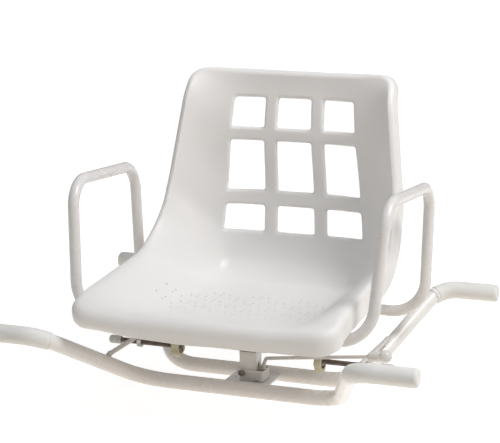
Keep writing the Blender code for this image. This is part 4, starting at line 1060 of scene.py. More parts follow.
def make_pivot_and_retaining_bolts():
    """Hexagon heads, and the shanks that show beyond the nuts."""
    low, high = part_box("rocker_pivot_bolt")
    head = high[0] - low[0]
    x, z = PIVOT[0], PIVOT[2]
    shank = round_profile(high[1] - low[1] - PIVOT_HEAD + FIT, *PIVOT_SHANK)
    bolt = [hexagon_head((x, low[1], z), Y_AXIS, head, PIVOT_HEAD),
            turned((x, low[1] + PIVOT_HEAD - FIT, z), Y_AXIS, shank, PIVOT_SIDES)]
    show("pivot_bolt", bolt, BOLT_STEEL, "frame", "rocker_pivot_bolt")
    low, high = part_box("rocker_pivot_nut")
    nut = hexagon_head((x, low[1], z), Y_AXIS, head, high[1] - low[1], PIVOT_NUT_BORE)
    show("pivot_nut", nut, BOLT_STEEL, "frame", "rocker_pivot_nut", along=True)
    low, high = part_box("post_retaining_bolt")
    z = (low[2] + high[2]) / 2.0
    shank = round_profile(high[0] - low[0] - RETAINING_HEAD, *RETAINING_SHANK)
    bolt = [hexagon_head((low[0], 0, z), X_AXIS, high[1] - low[1], RETAINING_HEAD),
            turned((low[0] + RETAINING_HEAD - FIT, 0, z), X_AXIS, shank, SHANK_SIDES)]
    show("retaining_bolt", bolt, BOLT_STEEL, "frame", "post_retaining_bolt")


# Rocker and lever

def make_rocker():
    """The channel round the post: a strip bent round two corners, deeper at its closed end.

    The strip's route in plan is flange, bend, web, bend, flange; its lower and
    upper edges slope along X, and draw together by a quarter circle at the tips.
    """
    low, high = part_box("lock_rocker")
    half, web_x = high[1] - ROCKER_WALL / 2.0, high[0] - ROCKER_WALL / 2.0
    plan = [(low[0], -half, 0), (web_x, -half, 0), (web_x, half, 0), (low[0], half, 0)]
    flat = bent_route(plan, [ROCKER_BEND] * 2, ROCKER_TURN)
    tips = grid_from(low[0] + ROCKER_TIP * (1.0 - np.cos(quarter_turn(ROCKER_STEPS))), -half, 0.0)
    route = np.vstack([tips, flat[1:-1], tips[::-1] * np.array([1.0, -1.0, 1.0])])
    share = (route[:, 0] - low[0]) / (high[0] - low[0])
    lower, upper = (tip + (web - tip) * share for tip, web in (ROCKER_LOWER, ROCKER_UPPER))
    inside = np.clip(ROCKER_TIP - (route[:, 0] - low[0]), 0.0, None)
    draw_in = ROCKER_TIP - np.sqrt(ROCKER_TIP ** 2 - inside ** 2)
    lower, upper = (lower + draw_in)[:, None], (upper - draw_in)[:, None]
    level = np.linspace(0.0, 1.0, ROCKER_STEPS)[None, :]
    strip = grid_from(route[:, :1], route[:, 1:2], lower + (upper - lower) * level)
    rocker = walled(piece("rocker_channel", strip, around=False), ROCKER_WALL, 0.0)
    cut(rocker, "pin", pivot_drill("rocker_pin"))
    softened(rocker, CUT_ROUND, CUT_ANGLE)
    dressed(rocker, PLATE_PAINT, "lever", "lock_rocker")
    dog_top = LEVER_FOOT[2] - FIT
    dog_low, dog_high = (DOG_X, -DOG_HALF_WIDTH, dog_top - DOG_HEIGHT), (web_x, DOG_HALF_WIDTH, dog_top)
    show("locking_dog", block(dog_low, dog_high, *DOG_ROUNDS), PLATE_PAINT, "lever")


def make_lever():
    """The bent rod, its weld at the foot, and the knob: a ball that runs into a sleeve."""
    corner, knob = np.array(LEVER_CORNER), np.array(KNOB_CENTRE)
    along = unit(knob - corner)
    foot_x, foot_y, foot_z = LEVER_FOOT
    stops = [LEVER_FOOT, (foot_x, foot_y, LEVER_UPRIGHT_Z), corner, knob - along * LEVER_END_GAP]
    rod = capped(carried(bent_route(stops, LEVER_BENDS, LEVER_TURN), LEVER_R, LEVER_UP, BAR_SIDES))
    show("lever_bar", rod, BAR_PAINT, "lever", "lever_rod")
    weld = weld_ring((foot_x, foot_y, foot_z + FOOT_WELD_RISE), Z_AXIS, FOOT_WELD_R, FOOT_WELD)
    show("lever_foot_weld", weld, PLATE_PAINT, "lever", along=True)
    join = math.asin(KNOB_SLEEVE_R * KNOB_JOIN_SHARE / KNOB_BALL_R)
    turns = np.linspace(math.pi - join, 0.0, KNOB_STEPS)
    ball = KNOB_BALL_R * np.column_stack([np.cos(turns), np.sin(turns)])
    mouth, bore = -KNOB_SLEEVE_LENGTH, LEVER_R + FIT
    sleeve = rounded_edge(mouth, KNOB_SLEEVE_R, KNOB_EDGE, GRIP_STEPS)
    profile = np.vstack([[(KNOB_BORE_END, bore), (mouth, bore), (mouth, KNOB_LIP_R)], sleeve,
                         KNOB_NECK * (1.0, KNOB_SLEEVE_R), ball])
    show("lever_handle", turned(knob, along, profile, SLEEVE_SIDES), KNOB_VINYL, "lever", "lever_knob")


# Adjusters

def screw_surface(start, length, direction):
    """A threaded rod: reach = core + depth times a triangle wave of turn and distance.

    The wave's phase is distance over pitch minus angle over a whole turn, so that
    its crests run as one right-hand helix.  The wave is stretched and held between
    0 and 1, so crests and roots are flat, and the thread runs out at both ends.
    """
    rows = int(length / SCREW_PITCH * THREAD_ROWS)
    angle = full_turn(THREAD_SIDES)[None, :]
    along = np.linspace(0.0, length, rows)[:, None]
    phase = (along / SCREW_PITCH - angle / (2.0 * math.pi)) % 1.0
    wave = np.clip(THREAD_STRETCH * (1.0 - 2.0 * np.abs(phase - 0.5)) - THREAD_ROOT, 0.0, 1.0)
    fade = eased(np.minimum(along, length - along) / (THREAD_FADE * SCREW_PITCH))
    reach = (SCREW_R - FIT - THREAD_DEPTH) + THREAD_DEPTH * wave * fade
    ring = np.cos(angle)[..., None] * np.cross(direction, Z_AXIS) + np.sin(angle)[..., None] * Z_AXIS
    return capped(np.array(start) + along[..., None] * direction + reach[..., None] * ring)


def cup_profile(face, inward, depth):
    """Profile of a cup sunk in a wheel's face, from its rounded edge to the bore."""
    floor = face + inward * depth
    return [(face, CUP_R), (face + inward * CUP_EDGE, CUP_R - CUP_EDGE_DROP),
            (floor, CUP_R - CUP_FLOOR_DROP), (floor, SCREW_R + FIT)]


def make_wheel(side_name, start, outward, body):
    """The hand wheel: a lobed disc with rounded edges, a cup sunk in each face, and ribs.

    The disc's reach is R minus a lobe's depth, minus the depth times the cosine
    of six times the angle (on the left, plus it).  A quarter circle draws its
    edges in.
    """
    inner, outer = WHEEL_X - WHEEL_THICKNESS / 2.0, WHEEL_X + WHEEL_THICKNESS / 2.0
    turns = quarter_turn(WHEEL_STEPS)
    step = WHEEL_EDGE * (1.0 - np.cos(turns))
    share = 1.0 - WHEEL_EDGE * (1.0 - np.sin(turns)) / WHEEL_R
    places = np.concatenate([inner + step, (outer - step)[::-1]])
    share = np.concatenate([share, share[::-1]])
    wave = np.cos(WHEEL_LOBES * (full_turn(WHEEL_SIDES) + math.pi / 2.0))
    lobes = WHEEL_R - WHEEL_LOBE - SIDES[side_name] * WHEEL_LOBE * wave
    disc = turned(start, outward, [(place, 1.0) for place in places], WHEEL_SIDES)
    middle = start + places[:, None, None] * outward
    disc = middle + (disc - middle) * (share[:, None] * lobes)[..., None]
    cup_out = turned(start, outward, cup_profile(outer, -1.0, CUP_DEPTH), WHEEL_SIDES)
    cup_in = turned(start, outward, cup_profile(inner, 1.0, CUP_DEPTH * CUP_IN_SHARE)[::-1], WHEEL_SIDES)
    rim = piece(side_name + "_wheel_rim", np.concatenate([cup_in[-1:], disc, cup_out[:1]]))
    cups = piece(side_name + "_wheel_cups", [cup_out, cup_in])
    dressed(rim, WHEEL_PLASTIC, body, side_name + "_hand_wheel")
    # The cups take the dark recess colour, partly painted shade.
    dressed(cups, RECESS_PLASTIC_AND_SHADE, body)
    low = start + outward * (inner + RIB_R)
    ribs = []
    for turn in full_turn(WHEEL_LOBES) + math.pi / 6.0:
        ray = np.cos(turn) * Y_AXIS + np.sin(turn) * Z_AXIS
        rib = np.stack([low + ray * run for run in RIB_RUN])
        ribs.append(capped(carried(rib, RIB_R, X_AXIS, RIB_SIDES)))
    show(side_name + "_wheel_ribs", ribs, WHEEL_PLASTIC, body)


def inner_face(node, side):
    """Middle of the face nearer the swivel axis of an adjuster's piece, its length and its width."""
    low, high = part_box(node)
    face = X_AXIS * (low[0] if side > 0 else high[0]) + Z_AXIS * ADJUSTER_Z
    return face, high[0] - low[0], high[1] - low[1]


def make_adjuster(side_name):
    """Screw, wheel, jam nut and tip of one side."""
    side = SIDES[side_name]
    outward = X_AXIS * side
    start = outward * ADJUSTER_SET[side_name] + Z_AXIS * ADJUSTER_Z
    body = side_name + "_screw"
    screw = screw_surface(start + outward * SCREW_START, SCREW_END - SCREW_START, outward)
    show(side_name + "_threaded_rod", screw, SCREW_STEEL, body, side_name + "_adjuster_screw")
    make_wheel(side_name, start, outward, body)
    face, length, width = inner_face(side_name + "_jam_nut", side)
    nut = hexagon_head(face, outward, width, length, SCREW_R + FIT / 2)
    show(side_name + "_lock_nut", nut, SCREW_STEEL, body, side_name + "_jam_nut", along=True)
    mouth, length, _ = inner_face(side_name + "_rubber_tip", side)
    bore = [(TIP_BORE_DEPTH, SCREW_R + FIT), (0.0, SCREW_R + FIT)]
    nose = rounded_end(length, TIP_R, TIP_NOSE, TIP_STEPS)
    profile = np.vstack([bore, TIP_COLLAR + (0.0, TIP_R), nose, [(length, 0.0)]])
    tip = turned(mouth, outward, profile, SLEEVE_SIDES)
    show(side_name + "_end_cap", tip, TIP_RUBBER, side_name + "_tip", side_name + "_rubber_tip")


# Armrests, carrier and bolts

def make_armrests():
    """One bent tube a side, open at both ends under the seat."""
    for side_name, side in SIDES.items():
        front, rear = ((ARM_INNER_X, *low[1:]) for low in (ARM_FRONT_LOW, ARM_REAR_LOW))
        corners = (front, ARM_FRONT_LOW, ARM_FRONT_HIGH, ARM_REAR_HIGH, ARM_REAR_LOW, rear)
        corners = [(side * x, y, z) for x, y, z in corners]
        route = bent_route(corners, [ARM_LOW_BEND, ARM_HIGH_BEND, ARM_HIGH_BEND, ARM_LOW_BEND])
        arm = carried(route, ARM_R, np.array([side, -1.0, 1.0]), ARM_SIDES)
        arm = piece(side_name + "_arm_tube", arm)
        dressed(walled(arm, ARM_WALL), ARM_PAINT, "seat", side_name + "_armrest")


def make_carrier():
    """The plate under the seat: its side view is a strip with round bends, carried across X."""
    low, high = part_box("seat_carrier")
    level = CARRIER_Z + CARRIER_WALL / 2.0
    front, rear = (arm[2] - ARM_R - FIT - CARRIER_WALL / 2.0 for arm in (ARM_FRONT_LOW, ARM_REAR_LOW))
    front_y, rear_y = ARM_FRONT_LOW[1] + CARRIER_PAD, ARM_REAR_LOW[1] - CARRIER_PAD
    stops = [(0.0, low[1], front), (0.0, front_y, front), (0.0, -CARRIER_FLAT_Y, level),
             (0.0, CARRIER_FLAT_Y, level), (0.0, rear_y, rear), (0.0, high[1], rear)]
    route = bent_route(stops, [CARRIER_BEND] * 4, CARRIER_TURN)
    sheet = grid_from(np.linspace(low[0], high[0], 7)[None, :], route[:, 1:2], route[:, 2:])
    plate = walled(piece("carrier_plate", sheet, around=False), CARRIER_WALL, 0.0)
    softened(plate, CARRIER_ROUND, CARRIER_ANGLE)
    dressed(plate, PLATE_PAINT, "seat", "seat_carrier")
    collar = turned((0, 0, CARRIER_Z - COLLAR_GAP), -Z_AXIS, COLLAR_WELD, COLLAR_SIDES)
    show("carrier_collar_weld", collar, PLATE_PAINT, "seat")


def make_seat_bolts():
    """Hexagon bolts with a washer, and the flared bosses that they enter."""
    bosses = []
    for end_name, arm in (("front", ARM_FRONT_LOW), ("rear", ARM_REAR_LOW)):
        for side_name in SIDES:
            name = end_name + "_" + side_name
            low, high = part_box(name + "_seat_bolt")
            x, y = (low[0] + high[0]) / 2.0, (low[1] + high[1]) / 2.0
            neck = low[2] + SEAT_BOLT_HEAD
            shank = round_profile(high[2] - low[2] - SEAT_BOLT_HEAD, *SEAT_SHANK)
            bolt = [hexagon_head((x, y, low[2]), Z_AXIS, high[0] - low[0], SEAT_BOLT_HEAD),
                    turned((x, y, neck - WASHER_DROP), Z_AXIS, round_profile(*WASHER), ARM_SIDES),
                    turned((x, y, neck), Z_AXIS, shank, SHANK_SIDES)]
            show(name + "_bolt", bolt, BOLT_STEEL, "seat", name + "_seat_bolt")
            floor = arm[2] + ARM_R + FIT
            top = float(centre_height(y)) - SHELL_WALL - floor + BOSS_OVERLAP
            foot = [(0.0, BOSS_BORE), (0.0, BOSS_R - BOSS_EDGE), (BOSS_EDGE, BOSS_R)]
            flare = FLARE_ARC * BOSS_FLARE + (top - BOSS_FLARE, BOSS_R)
            profile = np.vstack([foot, flare, [(top, BOSS_BORE)]])
            bosses.append(turned((x, y, floor), Z_AXIS, profile, ARM_SIDES))
    show("seat_bosses", bosses, SHELL_PLASTIC, "seat", along=True)


# Seat shell

def centre_height(y):
    """Height of the seat's centre line: level, then a lift that grows as a power of the run."""
    run = np.clip((SEAT_LIFT_START_Y - y) / (SEAT_LIFT_START_Y - SEAT_FRONT_Y), 0.0, None)
    return SEAT_Z + SEAT_FRONT_LIFT * run ** SEAT_LIFT_POWER


def side_view_line(start, seat_slope, back_point, back_lean, fold, top_z):
    """Side view (y, z) at each value of STRETCH: 0 to 1 is the seat, to 2 the fold, to 3 the back."""
    ahead = unit(np.array([1.0, seat_slope]))
    upward = unit(np.array([back_lean, 1.0]))
    level = start[1] - seat_slope * start[0]
    corner_y = (back_point[0] + back_lean * (level - back_point[1])) / (1.0 - back_lean * seat_slope)
    corner = np.array([corner_y, level + seat_slope * corner_y])
    turn = math.acos(float(ahead @ upward))
    setback = fold * math.tan(turn / 2.0)
    fold_start, fold_end = corner - ahead * setback, corner + upward * setback
    top = np.array([back_point[0] + back_lean * (top_z - back_point[1]), top_z])
    share = STRETCH[:, None]
    seat = np.array(start) + (fold_start - np.array(start)) * share
    normal = np.array([-ahead[1], ahead[0]])
    angle = (share - 1.0) * turn
    arc = fold_start + normal * fold + fold * (ahead * np.sin(angle) - normal * np.cos(angle))
    back = fold_end + (top - fold_end) * (share - 2.0)
    return np.where(share < 1.0, seat, np.where(share < 2.0, arc, back))


class ShellLines:
    """The lines that the shell hangs on, as tables over STRETCH."""

    def __init__(self):
        centre = side_view_line((SEAT_FRONT_Y, SEAT_Z), 0.0, (BACK_Y, BACK_LEVEL_Z), BACK_LEAN,
                                BACK_FOLD, BACK_TOP_Z)
        centre[:, 1] += centre_height(centre[:, 0]) - SEAT_Z
        away = np.clip((centre[:, 1] - BACK_BOW_Z) / BACK_BOW_HALF, -1.0, 1.0)
        centre[:, 0] -= BACK_BOW * np.cos(away * math.pi / 2.0) ** 2
        start_z = RIM_SEAT_Z + RIM_SEAT_SLOPE * SEAT_FRONT_Y
        top_z = BACK_TOP_Z + RIM_TOP_LIFT
        rim = side_view_line((SEAT_FRONT_Y, start_z), RIM_SEAT_SLOPE, (RIM_BACK_Y, RIM_BACK_Z),
                             RIM_BACK_LEAN, RIM_FOLD, top_z)
        self.slope = unit(np.gradient(rim, axis=0))
        rim[:, 0] += RIM_TOP_SETBACK * np.clip(1.0 - (top_z - rim[:, 1]) / RIM_TOP_RUN, 0.0, 1.0) ** 2
        near_front = 1.0 - np.clip((rim[:, 0] - SEAT_FRONT_Y) / RIM_FRONT_RUN, 0.0, 1.0)
        rim[:, 1] -= (start_z - RIM_FRONT_Z) * near_front ** 2
        self.centre, self.rim = centre, rim
        self.travelled = distances(rim)
        inset = RIM_BACK_INSET * eased((rim[:, 1] - RIM_INSET_START_Z) / (RIM_BACK_Z - RIM_INSET_START_Z))
        self.full = RIM_HALF_WIDTH - inset - RIM_TAPER * np.clip(rim[:, 1] - RIM_BACK_Z, 0.0, None)
        self.to_back = eased((rim[:, 1] - DISH_CHANGE[0]) / (DISH_CHANGE[1] - DISH_CHANGE[0]))

    def at(self, table, stretch):
        """A table's value at any stretch."""
        return np.interp(stretch, STRETCH, table)

    def stretch_at_distance(self, distance):
        """Where the rim has run a given distance."""
        return np.interp(distance, self.travelled, STRETCH)

    def stretch_at_height(self, z):
        """Where the centre line of the back has a given height."""
        back = STRETCH >= 1.0
        return np.interp(z, self.centre[back, 1], STRETCH[back])

    def half_width(self, stretch):
        """Half the rim's width, drawn in by quarter circles at the front and top corners."""
        distance = self.at(self.travelled, stretch)
        front = np.clip(CORNER_FRONT - distance, 0.0, None)
        top = np.clip(CORNER_TOP - (self.travelled[-1] - distance), 0.0, None)
        draw_in = CORNER_FRONT - np.sqrt(np.clip(CORNER_FRONT ** 2 - front ** 2, 0.0, None))
        draw_in = draw_in + CORNER_TOP - np.sqrt(np.clip(CORNER_TOP ** 2 - top ** 2, 0.0, None))
        return self.at(self.full, stretch) - draw_in

    def surface(self, stretch, x):
        """The top skin: centre line plus a rise to the rim line, eased on the seat, a power on the back."""
        share = np.abs(x) / self.at(self.full, stretch)
        seat_rise = eased((share - DISH_START_SEAT) / (1.0 - DISH_START_SEAT))
        rise = seat_rise + (share ** DISH_BACK_POWER - seat_rise) * self.at(self.to_back, stretch)
        centre_y, centre_z = (self.at(self.centre[:, k], stretch) for k in (0, 1))
        rim_y, rim_z = (self.at(self.rim[:, k], stretch) for k in (0, 1))
        return grid_from(x, centre_y + (rim_y - centre_y) * rise, centre_z + (rim_z - centre_z) * rise)

    def normal(self, stretch, x):
        """Direction straight out of the top skin, from small steps across and along it."""
        across = self.surface(stretch, x + SMALL_STEP) - self.surface(stretch, x - SMALL_STEP)
        along = self.surface(stretch + SMALL_STEP, x) - self.surface(stretch - SMALL_STEP, x)
        return unit(np.cross(across, along))

    def stretch_for(self, z, x):
        """The stretch at which the skin has height z at place x, by halving an interval."""
        low, high = np.full(x.shape, 1.0), np.full(x.shape, 3.0)
        for _ in range(HALVINGS):
            middle = (low + high) / 2.0
            below = self.surface(middle, x)[..., 2] < z
            low, high = np.where(below, middle, low), np.where(below, high, middle)
        return (low + high) / 2.0


def between(start, stop, count):
    """Evenly spaced places between two, without the two themselves."""
    share = np.arange(1, count + 1) / (count + 1.0)
    return np.asarray(start)[..., None] * (1.0 - share) + np.asarray(stop)[..., None] * share


def window_line(line, z):
    """Place across X of a window's side at a height: it spreads evenly downwards."""
    return line[0] + line[1] * (WINDOW_TOP_Z - z)


def window_lift(x, z):
    """How far the lowest row of windows rises outwards, from nothing at the row above."""
    near, far = window_line(SIDE_WINDOW_NEAR, z), window_line(SIDE_WINDOW_FAR, z)
    below = (WINDOW_ROWS[1][0] - z) / (WINDOW_ROWS[1][0] - WINDOW_ROWS[0][0])
    outwards = np.clip((np.abs(x) - near) / (far - near), 0.0, LIFT_LIMIT)
    return LOW_ROW_LIFT * np.clip(below, 0.0, 1.0) * outwards


def row_stretches(lines):
    """Stretch of each grid row, how many lie before the windows, and the rows of the windows' edges.

    Rows gather at the round corners and where the windows' edges roll back.
    """
    front = lines.stretch_at_distance(CORNER_FRONT * CORNER_STATIONS)
    margin, inner = ROLL_STATIONS[-1], INNER_STATIONS[-1]
    first = lines.stretch_at_height(WINDOW_ROWS[0][0] - margin)
    parts = [front, between(front[-1], 1.0, SEAT_ROWS), np.ones(1), between(1.0, first, FOLD_ROWS)]
    before = sum(len(part) for part in parts)
    top = lines.travelled[-1] - CORNER_TOP
    top_z = float(lines.at(lines.centre[:, 1], lines.stretch_at_distance(top)))
    heights, marks = [], []
    for (low, high), after in zip(WINDOW_ROWS, [row[0] - margin for row in WINDOW_ROWS[1:]] + [top_z]):
        start = before + len(heights) + len(ROLL_STATIONS)
        heights += [*(low - ROLL_STATIONS[::-1]), low, *(low + INNER_STATIONS)]
        heights += [*between(low + inner, high - inner, WINDOW_CELLS), *(high - INNER_STATIONS[::-1])]
        marks.append((start, before + len(heights)))
        heights += [high, *(high + ROLL_STATIONS), *between(high + margin, after, CROSSBAR_ROWS)]
    parts.append(lines.stretch_at_height(np.array(heights)))
    parts.append(lines.stretch_at_distance(lines.travelled[-1] - CORNER_TOP * CORNER_STATIONS[::-1]))
    return np.concatenate(parts), before, marks


def column_places(half, z):
    """Place of each grid column at each row, the middle column's number, and those of the windows' sides."""
    centre, near, far = (window_line(line, z) for line in (CENTRE_WINDOW, SIDE_WINDOW_NEAR, SIDE_WINDOW_FAR))
    margin, inner = ROLL_STATIONS[-1], INNER_STATIONS[-1]
    middle = np.zeros(len(half))

    def beside(line, offsets):
        """Columns at given distances from a line, row by row."""
        return line[:, None] + offsets

    parts = [
        beside(middle, np.zeros(1)), between(middle, centre - inner, CENTRE_CELLS),
        beside(centre, -INNER_STATIONS[::-1]), beside(centre, np.zeros(1)), beside(centre, ROLL_STATIONS),
        between(centre + margin, near - margin, PILLAR_COLUMNS),
        beside(near, -ROLL_STATIONS[::-1]), beside(near, np.zeros(1)), beside(near, INNER_STATIONS),
        between(near + inner, far - inner, SIDE_CELLS),
        beside(far, -INNER_STATIONS[::-1]), beside(far, np.zeros(1)), beside(far, ROLL_STATIONS),
        between(far + margin, half, WING_COLUMNS), beside(half, np.zeros(1)),
    ]
    counts = np.cumsum([part.shape[1] for part in parts])
    marks = [int(counts[number - 1]) for number in (3, 7, 11)]
    right = np.hstack(parts)
    return np.hstack([-right[:, :0:-1], right]), right.shape[1] - 1, marks


def windows():
    """Each window as (low, high, left side, right side); a side is its sign along X and its line."""
    found = []
    for low, high in WINDOW_ROWS:
        found.append((low, high, (-1, CENTRE_WINDOW), (1, CENTRE_WINDOW)))
        found.append((low, high, (1, SIDE_WINDOW_NEAR), (1, SIDE_WINDOW_FAR)))
        found.append((low, high, (-1, SIDE_WINDOW_FAR), (-1, SIDE_WINDOW_NEAR)))
    return found


def round_window_corners(x, z):
    """Move grid points near the windows' corners so that the openings get round corners.

    A point of the sharp outline less than a corner radius r from the corner
    goes to the arc's point at the matching share of the turn, and points
    outside follow by a share that falls with the square of their distance.
    """
    moved_x, moved_z = x.copy(), z.copy()
    r = WINDOW_CORNER
    for low, high, left, right in windows():
        for sign_x, (side, line) in ((1.0, left), (-1.0, right)):
            for sign_z, corner_z in ((1.0, low), (-1.0, high)):
                a = (x - side * window_line(line, z)) * sign_x
                b = (z - corner_z) * sign_z
                a_in, b_in = np.clip(a, 0.0, None), np.clip(b, 0.0, None)
                outside = np.minimum(a_in, b_in) < ON_OUTLINE
                along = np.clip(np.maximum(a_in, b_in), 0.0, r)
                turn = (1.0 - along / r) * math.pi / 4.0
                on_a = r - r * np.sin(turn) - along
                on_b = r - r * np.cos(turn)
                first = a_in >= b_in
                falls = np.clip(1.0 - np.hypot(a - a_in, b - b_in) / WARP_REACH, 0.0, 1.0) ** 2 * outside
                moved_x += sign_x * np.where(first, on_a, on_b) * falls
                moved_z += sign_z * np.where(first, on_b, on_a) * falls
    return moved_x, moved_z


def distance_to_windows(x, z):
    """Distance of each grid point from the nearest window's sharp outline."""
    nearest = np.full(x.shape, 1.0)
    for low, high, left, right in windows():
        left_x, right_x = left[0] * window_line(left[1], z), right[0] * window_line(right[1], z)
        across = np.clip(np.maximum(left_x - x, x - right_x), 0.0, None)
        upright = np.clip(np.maximum(low - z, z - high), 0.0, None)
        nearest = np.minimum(nearest, np.hypot(across, upright))
    return nearest


def shell_grid(lines):
    """The top skin as a grid whose rows and columns follow the windows' edges, with the cells to keep.

    Rows of the back are level between the outer windows' sides and ease into
    the rim's own rows beyond them.  Near a window the skin rolls back by
    R - sqrt(R squared - (R - d) squared), where d is the distance to it.
    """
    stretch, first, row_marks = row_stretches(lines)
    heights = lines.at(lines.centre[:, 1], stretch)
    heights[:first] = heights[first]
    half = lines.half_width(stretch)
    x, middle, marks = column_places(half, heights)
    z = np.repeat(heights[:, None], x.shape[1], axis=1)
    far = window_line(SIDE_WINDOW_FAR, heights)[:, None]
    inner = 1.0 - eased((np.abs(x) - far - LEVEL_START) / (half[:, None] - far - LEVEL_SPARE))
    distance = distance_to_windows(x, z)
    warped_x, warped_z = round_window_corners(x, z)
    back = np.arange(len(stretch)) >= first
    x = np.where(back[:, None], warped_x, x)
    level = lines.stretch_for(warped_z + window_lift(x, warped_z), x)
    nominal = np.repeat(stretch[:, None], x.shape[1], axis=1)
    shift = (level - nominal) * inner
    shift[:first] = eased((stretch[:first] - 1.0) / (stretch[first] - 1.0))[:, None] * shift[first][None, :]
    shift[-1] = 0.0
    skin = lines.surface(nominal + shift, x)
    skin[:, [0, -1], 0] = np.stack([-half, half], axis=1)
    near = np.clip(WINDOW_ROLL - distance, 0.0, None)
    depth = WINDOW_ROLL - np.sqrt(WINDOW_ROLL ** 2 - near ** 2)
    skin = skin - lines.normal(nominal + shift, x) * (depth * back[:, None])[..., None]
    keep = np.ones((skin.shape[0] - 1, skin.shape[1] - 1), dtype=bool)
    centre_mark, near_mark, far_mark = marks
    for low, high in row_marks:
        for start, end in ((-centre_mark, centre_mark), (near_mark, far_mark), (-far_mark, -near_mark)):
            keep[low:high, middle + start:middle + end] = False
    return skin, stretch, keep


def edge_rings(lines, skin, stretch):
    """The rolled edge and the skirt round the skin's edge, ring by ring, with the edge's point numbers.

    On the roll a point is edge + R (outward sin a + down (1 - cos a)); the skirt
    hangs from the roll's end.  Outward and down turn with the rim's slope.  At
    the front left corner the skirt tucks in by a share of 1 - sqrt(1 - s squared),
    where s is how far down it a point lies.
    """
    rows, columns, _ = skin.shape
    row = np.concatenate([np.arange(rows), np.full(columns - 1, rows - 1), np.arange(rows - 2, -1, -1),
                          np.zeros(columns - 2, dtype=int)])
    column = np.concatenate([np.full(rows, columns - 1), np.arange(columns - 2, -1, -1),
                             np.zeros(rows - 1, dtype=int), np.arange(1, columns - 1)])
    edge = skin[row, column]
    travelled = lines.at(lines.travelled, stretch)[row]
    flat = np.column_stack([edge[:, 0], travelled])
    ahead, behind = np.roll(flat, -1, axis=0) - flat, flat - np.roll(flat, 1, axis=0)
    run = unit(unit(ahead) + unit(behind))
    out_x, out_s = run[:, 1], -run[:, 0]
    slope_y, slope_z = (lines.at(lines.slope[:, k], stretch)[row] for k in (0, 1))
    tangent = grid_from(0.0, slope_y, slope_z)
    down = grid_from(0.0, slope_z, -slope_y)
    outward = out_x[:, None] * X_AXIS + out_s[:, None] * tangent
    share = travelled / lines.travelled[-1]
    at_front = np.clip(-out_s, 0.0, 1.0) * (share < FRONT_SHARE)
    at_top = np.clip(out_s, 0.0, 1.0) * (share > TOP_SHARE)
    roll = ROLL_SIDE + (ROLL_FRONT - ROLL_SIDE) * at_front + (ROLL_TOP - ROLL_SIDE) * at_top
    turn = EDGE_TURNS[:, None, None]
    rings = edge + roll[:, None] * (outward * np.sin(turn) + down * (1.0 - np.cos(turn)))
    side = SKIRT_SIDE + (SKIRT_FOLD - SKIRT_SIDE) * eased((share - SKIRT_FOLD_SHARE) / SKIRT_CHANGE)
    side = side + (SKIRT_BACK - side) * eased((share - SKIRT_BACK_SHARE) / SKIRT_CHANGE)
    near_front = 1.0 - eased(travelled / SKIRT_LEFT_REACH)
    at_left = eased((SKIRT_LEFT_X - edge[:, 0]) / SKIRT_LEFT_RUN) * near_front
    at_middle = eased(1.0 - np.abs(edge[:, 0] - SKIRT_DROP_X) / SKIRT_DROP_HALF)
    front_low = SKIRT_FRONT_Z + SKIRT_CORNER_LIFT * np.clip(out_x, -1.0, 1.0) ** 2
    front_low = front_low + SKIRT_LEFT_RISE * at_left - SKIRT_MIDDLE_DROP * at_middle
    front = np.clip(rings[-1][:, 2] - front_low, SKIRT_LEAST, None)
    skirt = front + (side - front) * eased(travelled / SKIRT_FRONT_RUN)
    steps = np.linspace(0.0, 1.0, SKIRT_STEPS + 1)[1:, None, None]
    tuck = SKIRT_LEFT_TUCK * at_left[:, None] * (1.0 - np.sqrt(1.0 - TUCK_ROUND * steps ** 2))
    hanging = rings[-1] + steps * skirt[:, None] * down - tuck * outward
    return row * columns + column, np.concatenate([rings, hanging])


def shell_sheet(lines):
    """The whole outer skin as one open mesh: the skin without its windows, the roll and the skirt."""
    skin, stretch, keep = shell_grid(lines)
    rows, columns, _ = skin.shape
    walk, rings = edge_rings(lines, skin, stretch)
    cells = grid_quads(rows, columns)[keep]
    count = len(walk)
    inner = np.vstack([walk[None, :], rows * columns + np.arange(len(rings) * count).reshape(-1, count)])
    after = np.roll(inner, -1, axis=1)
    skirts = np.stack([after[:-1], inner[:-1], inner[1:], after[1:]], axis=-1).reshape(-1, 4)
    quads = np.vstack([cells.reshape(-1, 4), skirts])
    points = np.vstack([skin.reshape(-1, 3), rings.reshape(-1, 3)])
    used, numbers = np.unique(quads, return_inverse=True)
    return new_mesh("bucket_shell", points[used], numbers.reshape(-1, 4))


def hole_prisms():
    """The drain holes' cutters: upright prisms, four to a diamond, in staggered columns."""
    prisms = []
    for column, groups in enumerate(HOLE_COLUMNS):
        x = (column - (len(HOLE_COLUMNS) - 1) / 2.0) * HOLE_PITCH
        for group in range(groups):
            y = HOLE_MIDDLE_Y + (group - (groups - 1) / 2.0) * HOLE_ROW_PITCH
            for dx, dy in ((-1, 0), (1, 0), (0, -1), (0, 1)):
                foot = (x + dx * HOLE_REACH[0], y + dy * HOLE_REACH[1], HOLE_START_Z)
                prisms.append(prism(foot, Z_AXIS, HOLE_R, HOLE_DEPTH, HOLE_SIDES))
    return piece("drain_prisms", prisms)


def make_shell():
    """The moulded bucket: skin, wall, drain holes."""
    shell = walled(placed("bucket_shell", shell_sheet(ShellLines())), SHELL_WALL)
    cut(shell, "drain", hole_prisms())
    dressed(shell, SHELL_PLASTIC, "seat", "seat_shell")


def make_hidden_nodes():
    """Inner pieces keep their CAD solids and get a finish of their own."""
    finishes = {"bearing_bush": BUSH_PLASTIC, "swivel_spindle": DISC_STEEL, "index_disc": DISC_STEEL,
                "index_disc_screw": BOLT_STEEL}
    for node, (material, _) in finishes.items():
        painted(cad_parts[node].data, material)


# Studio

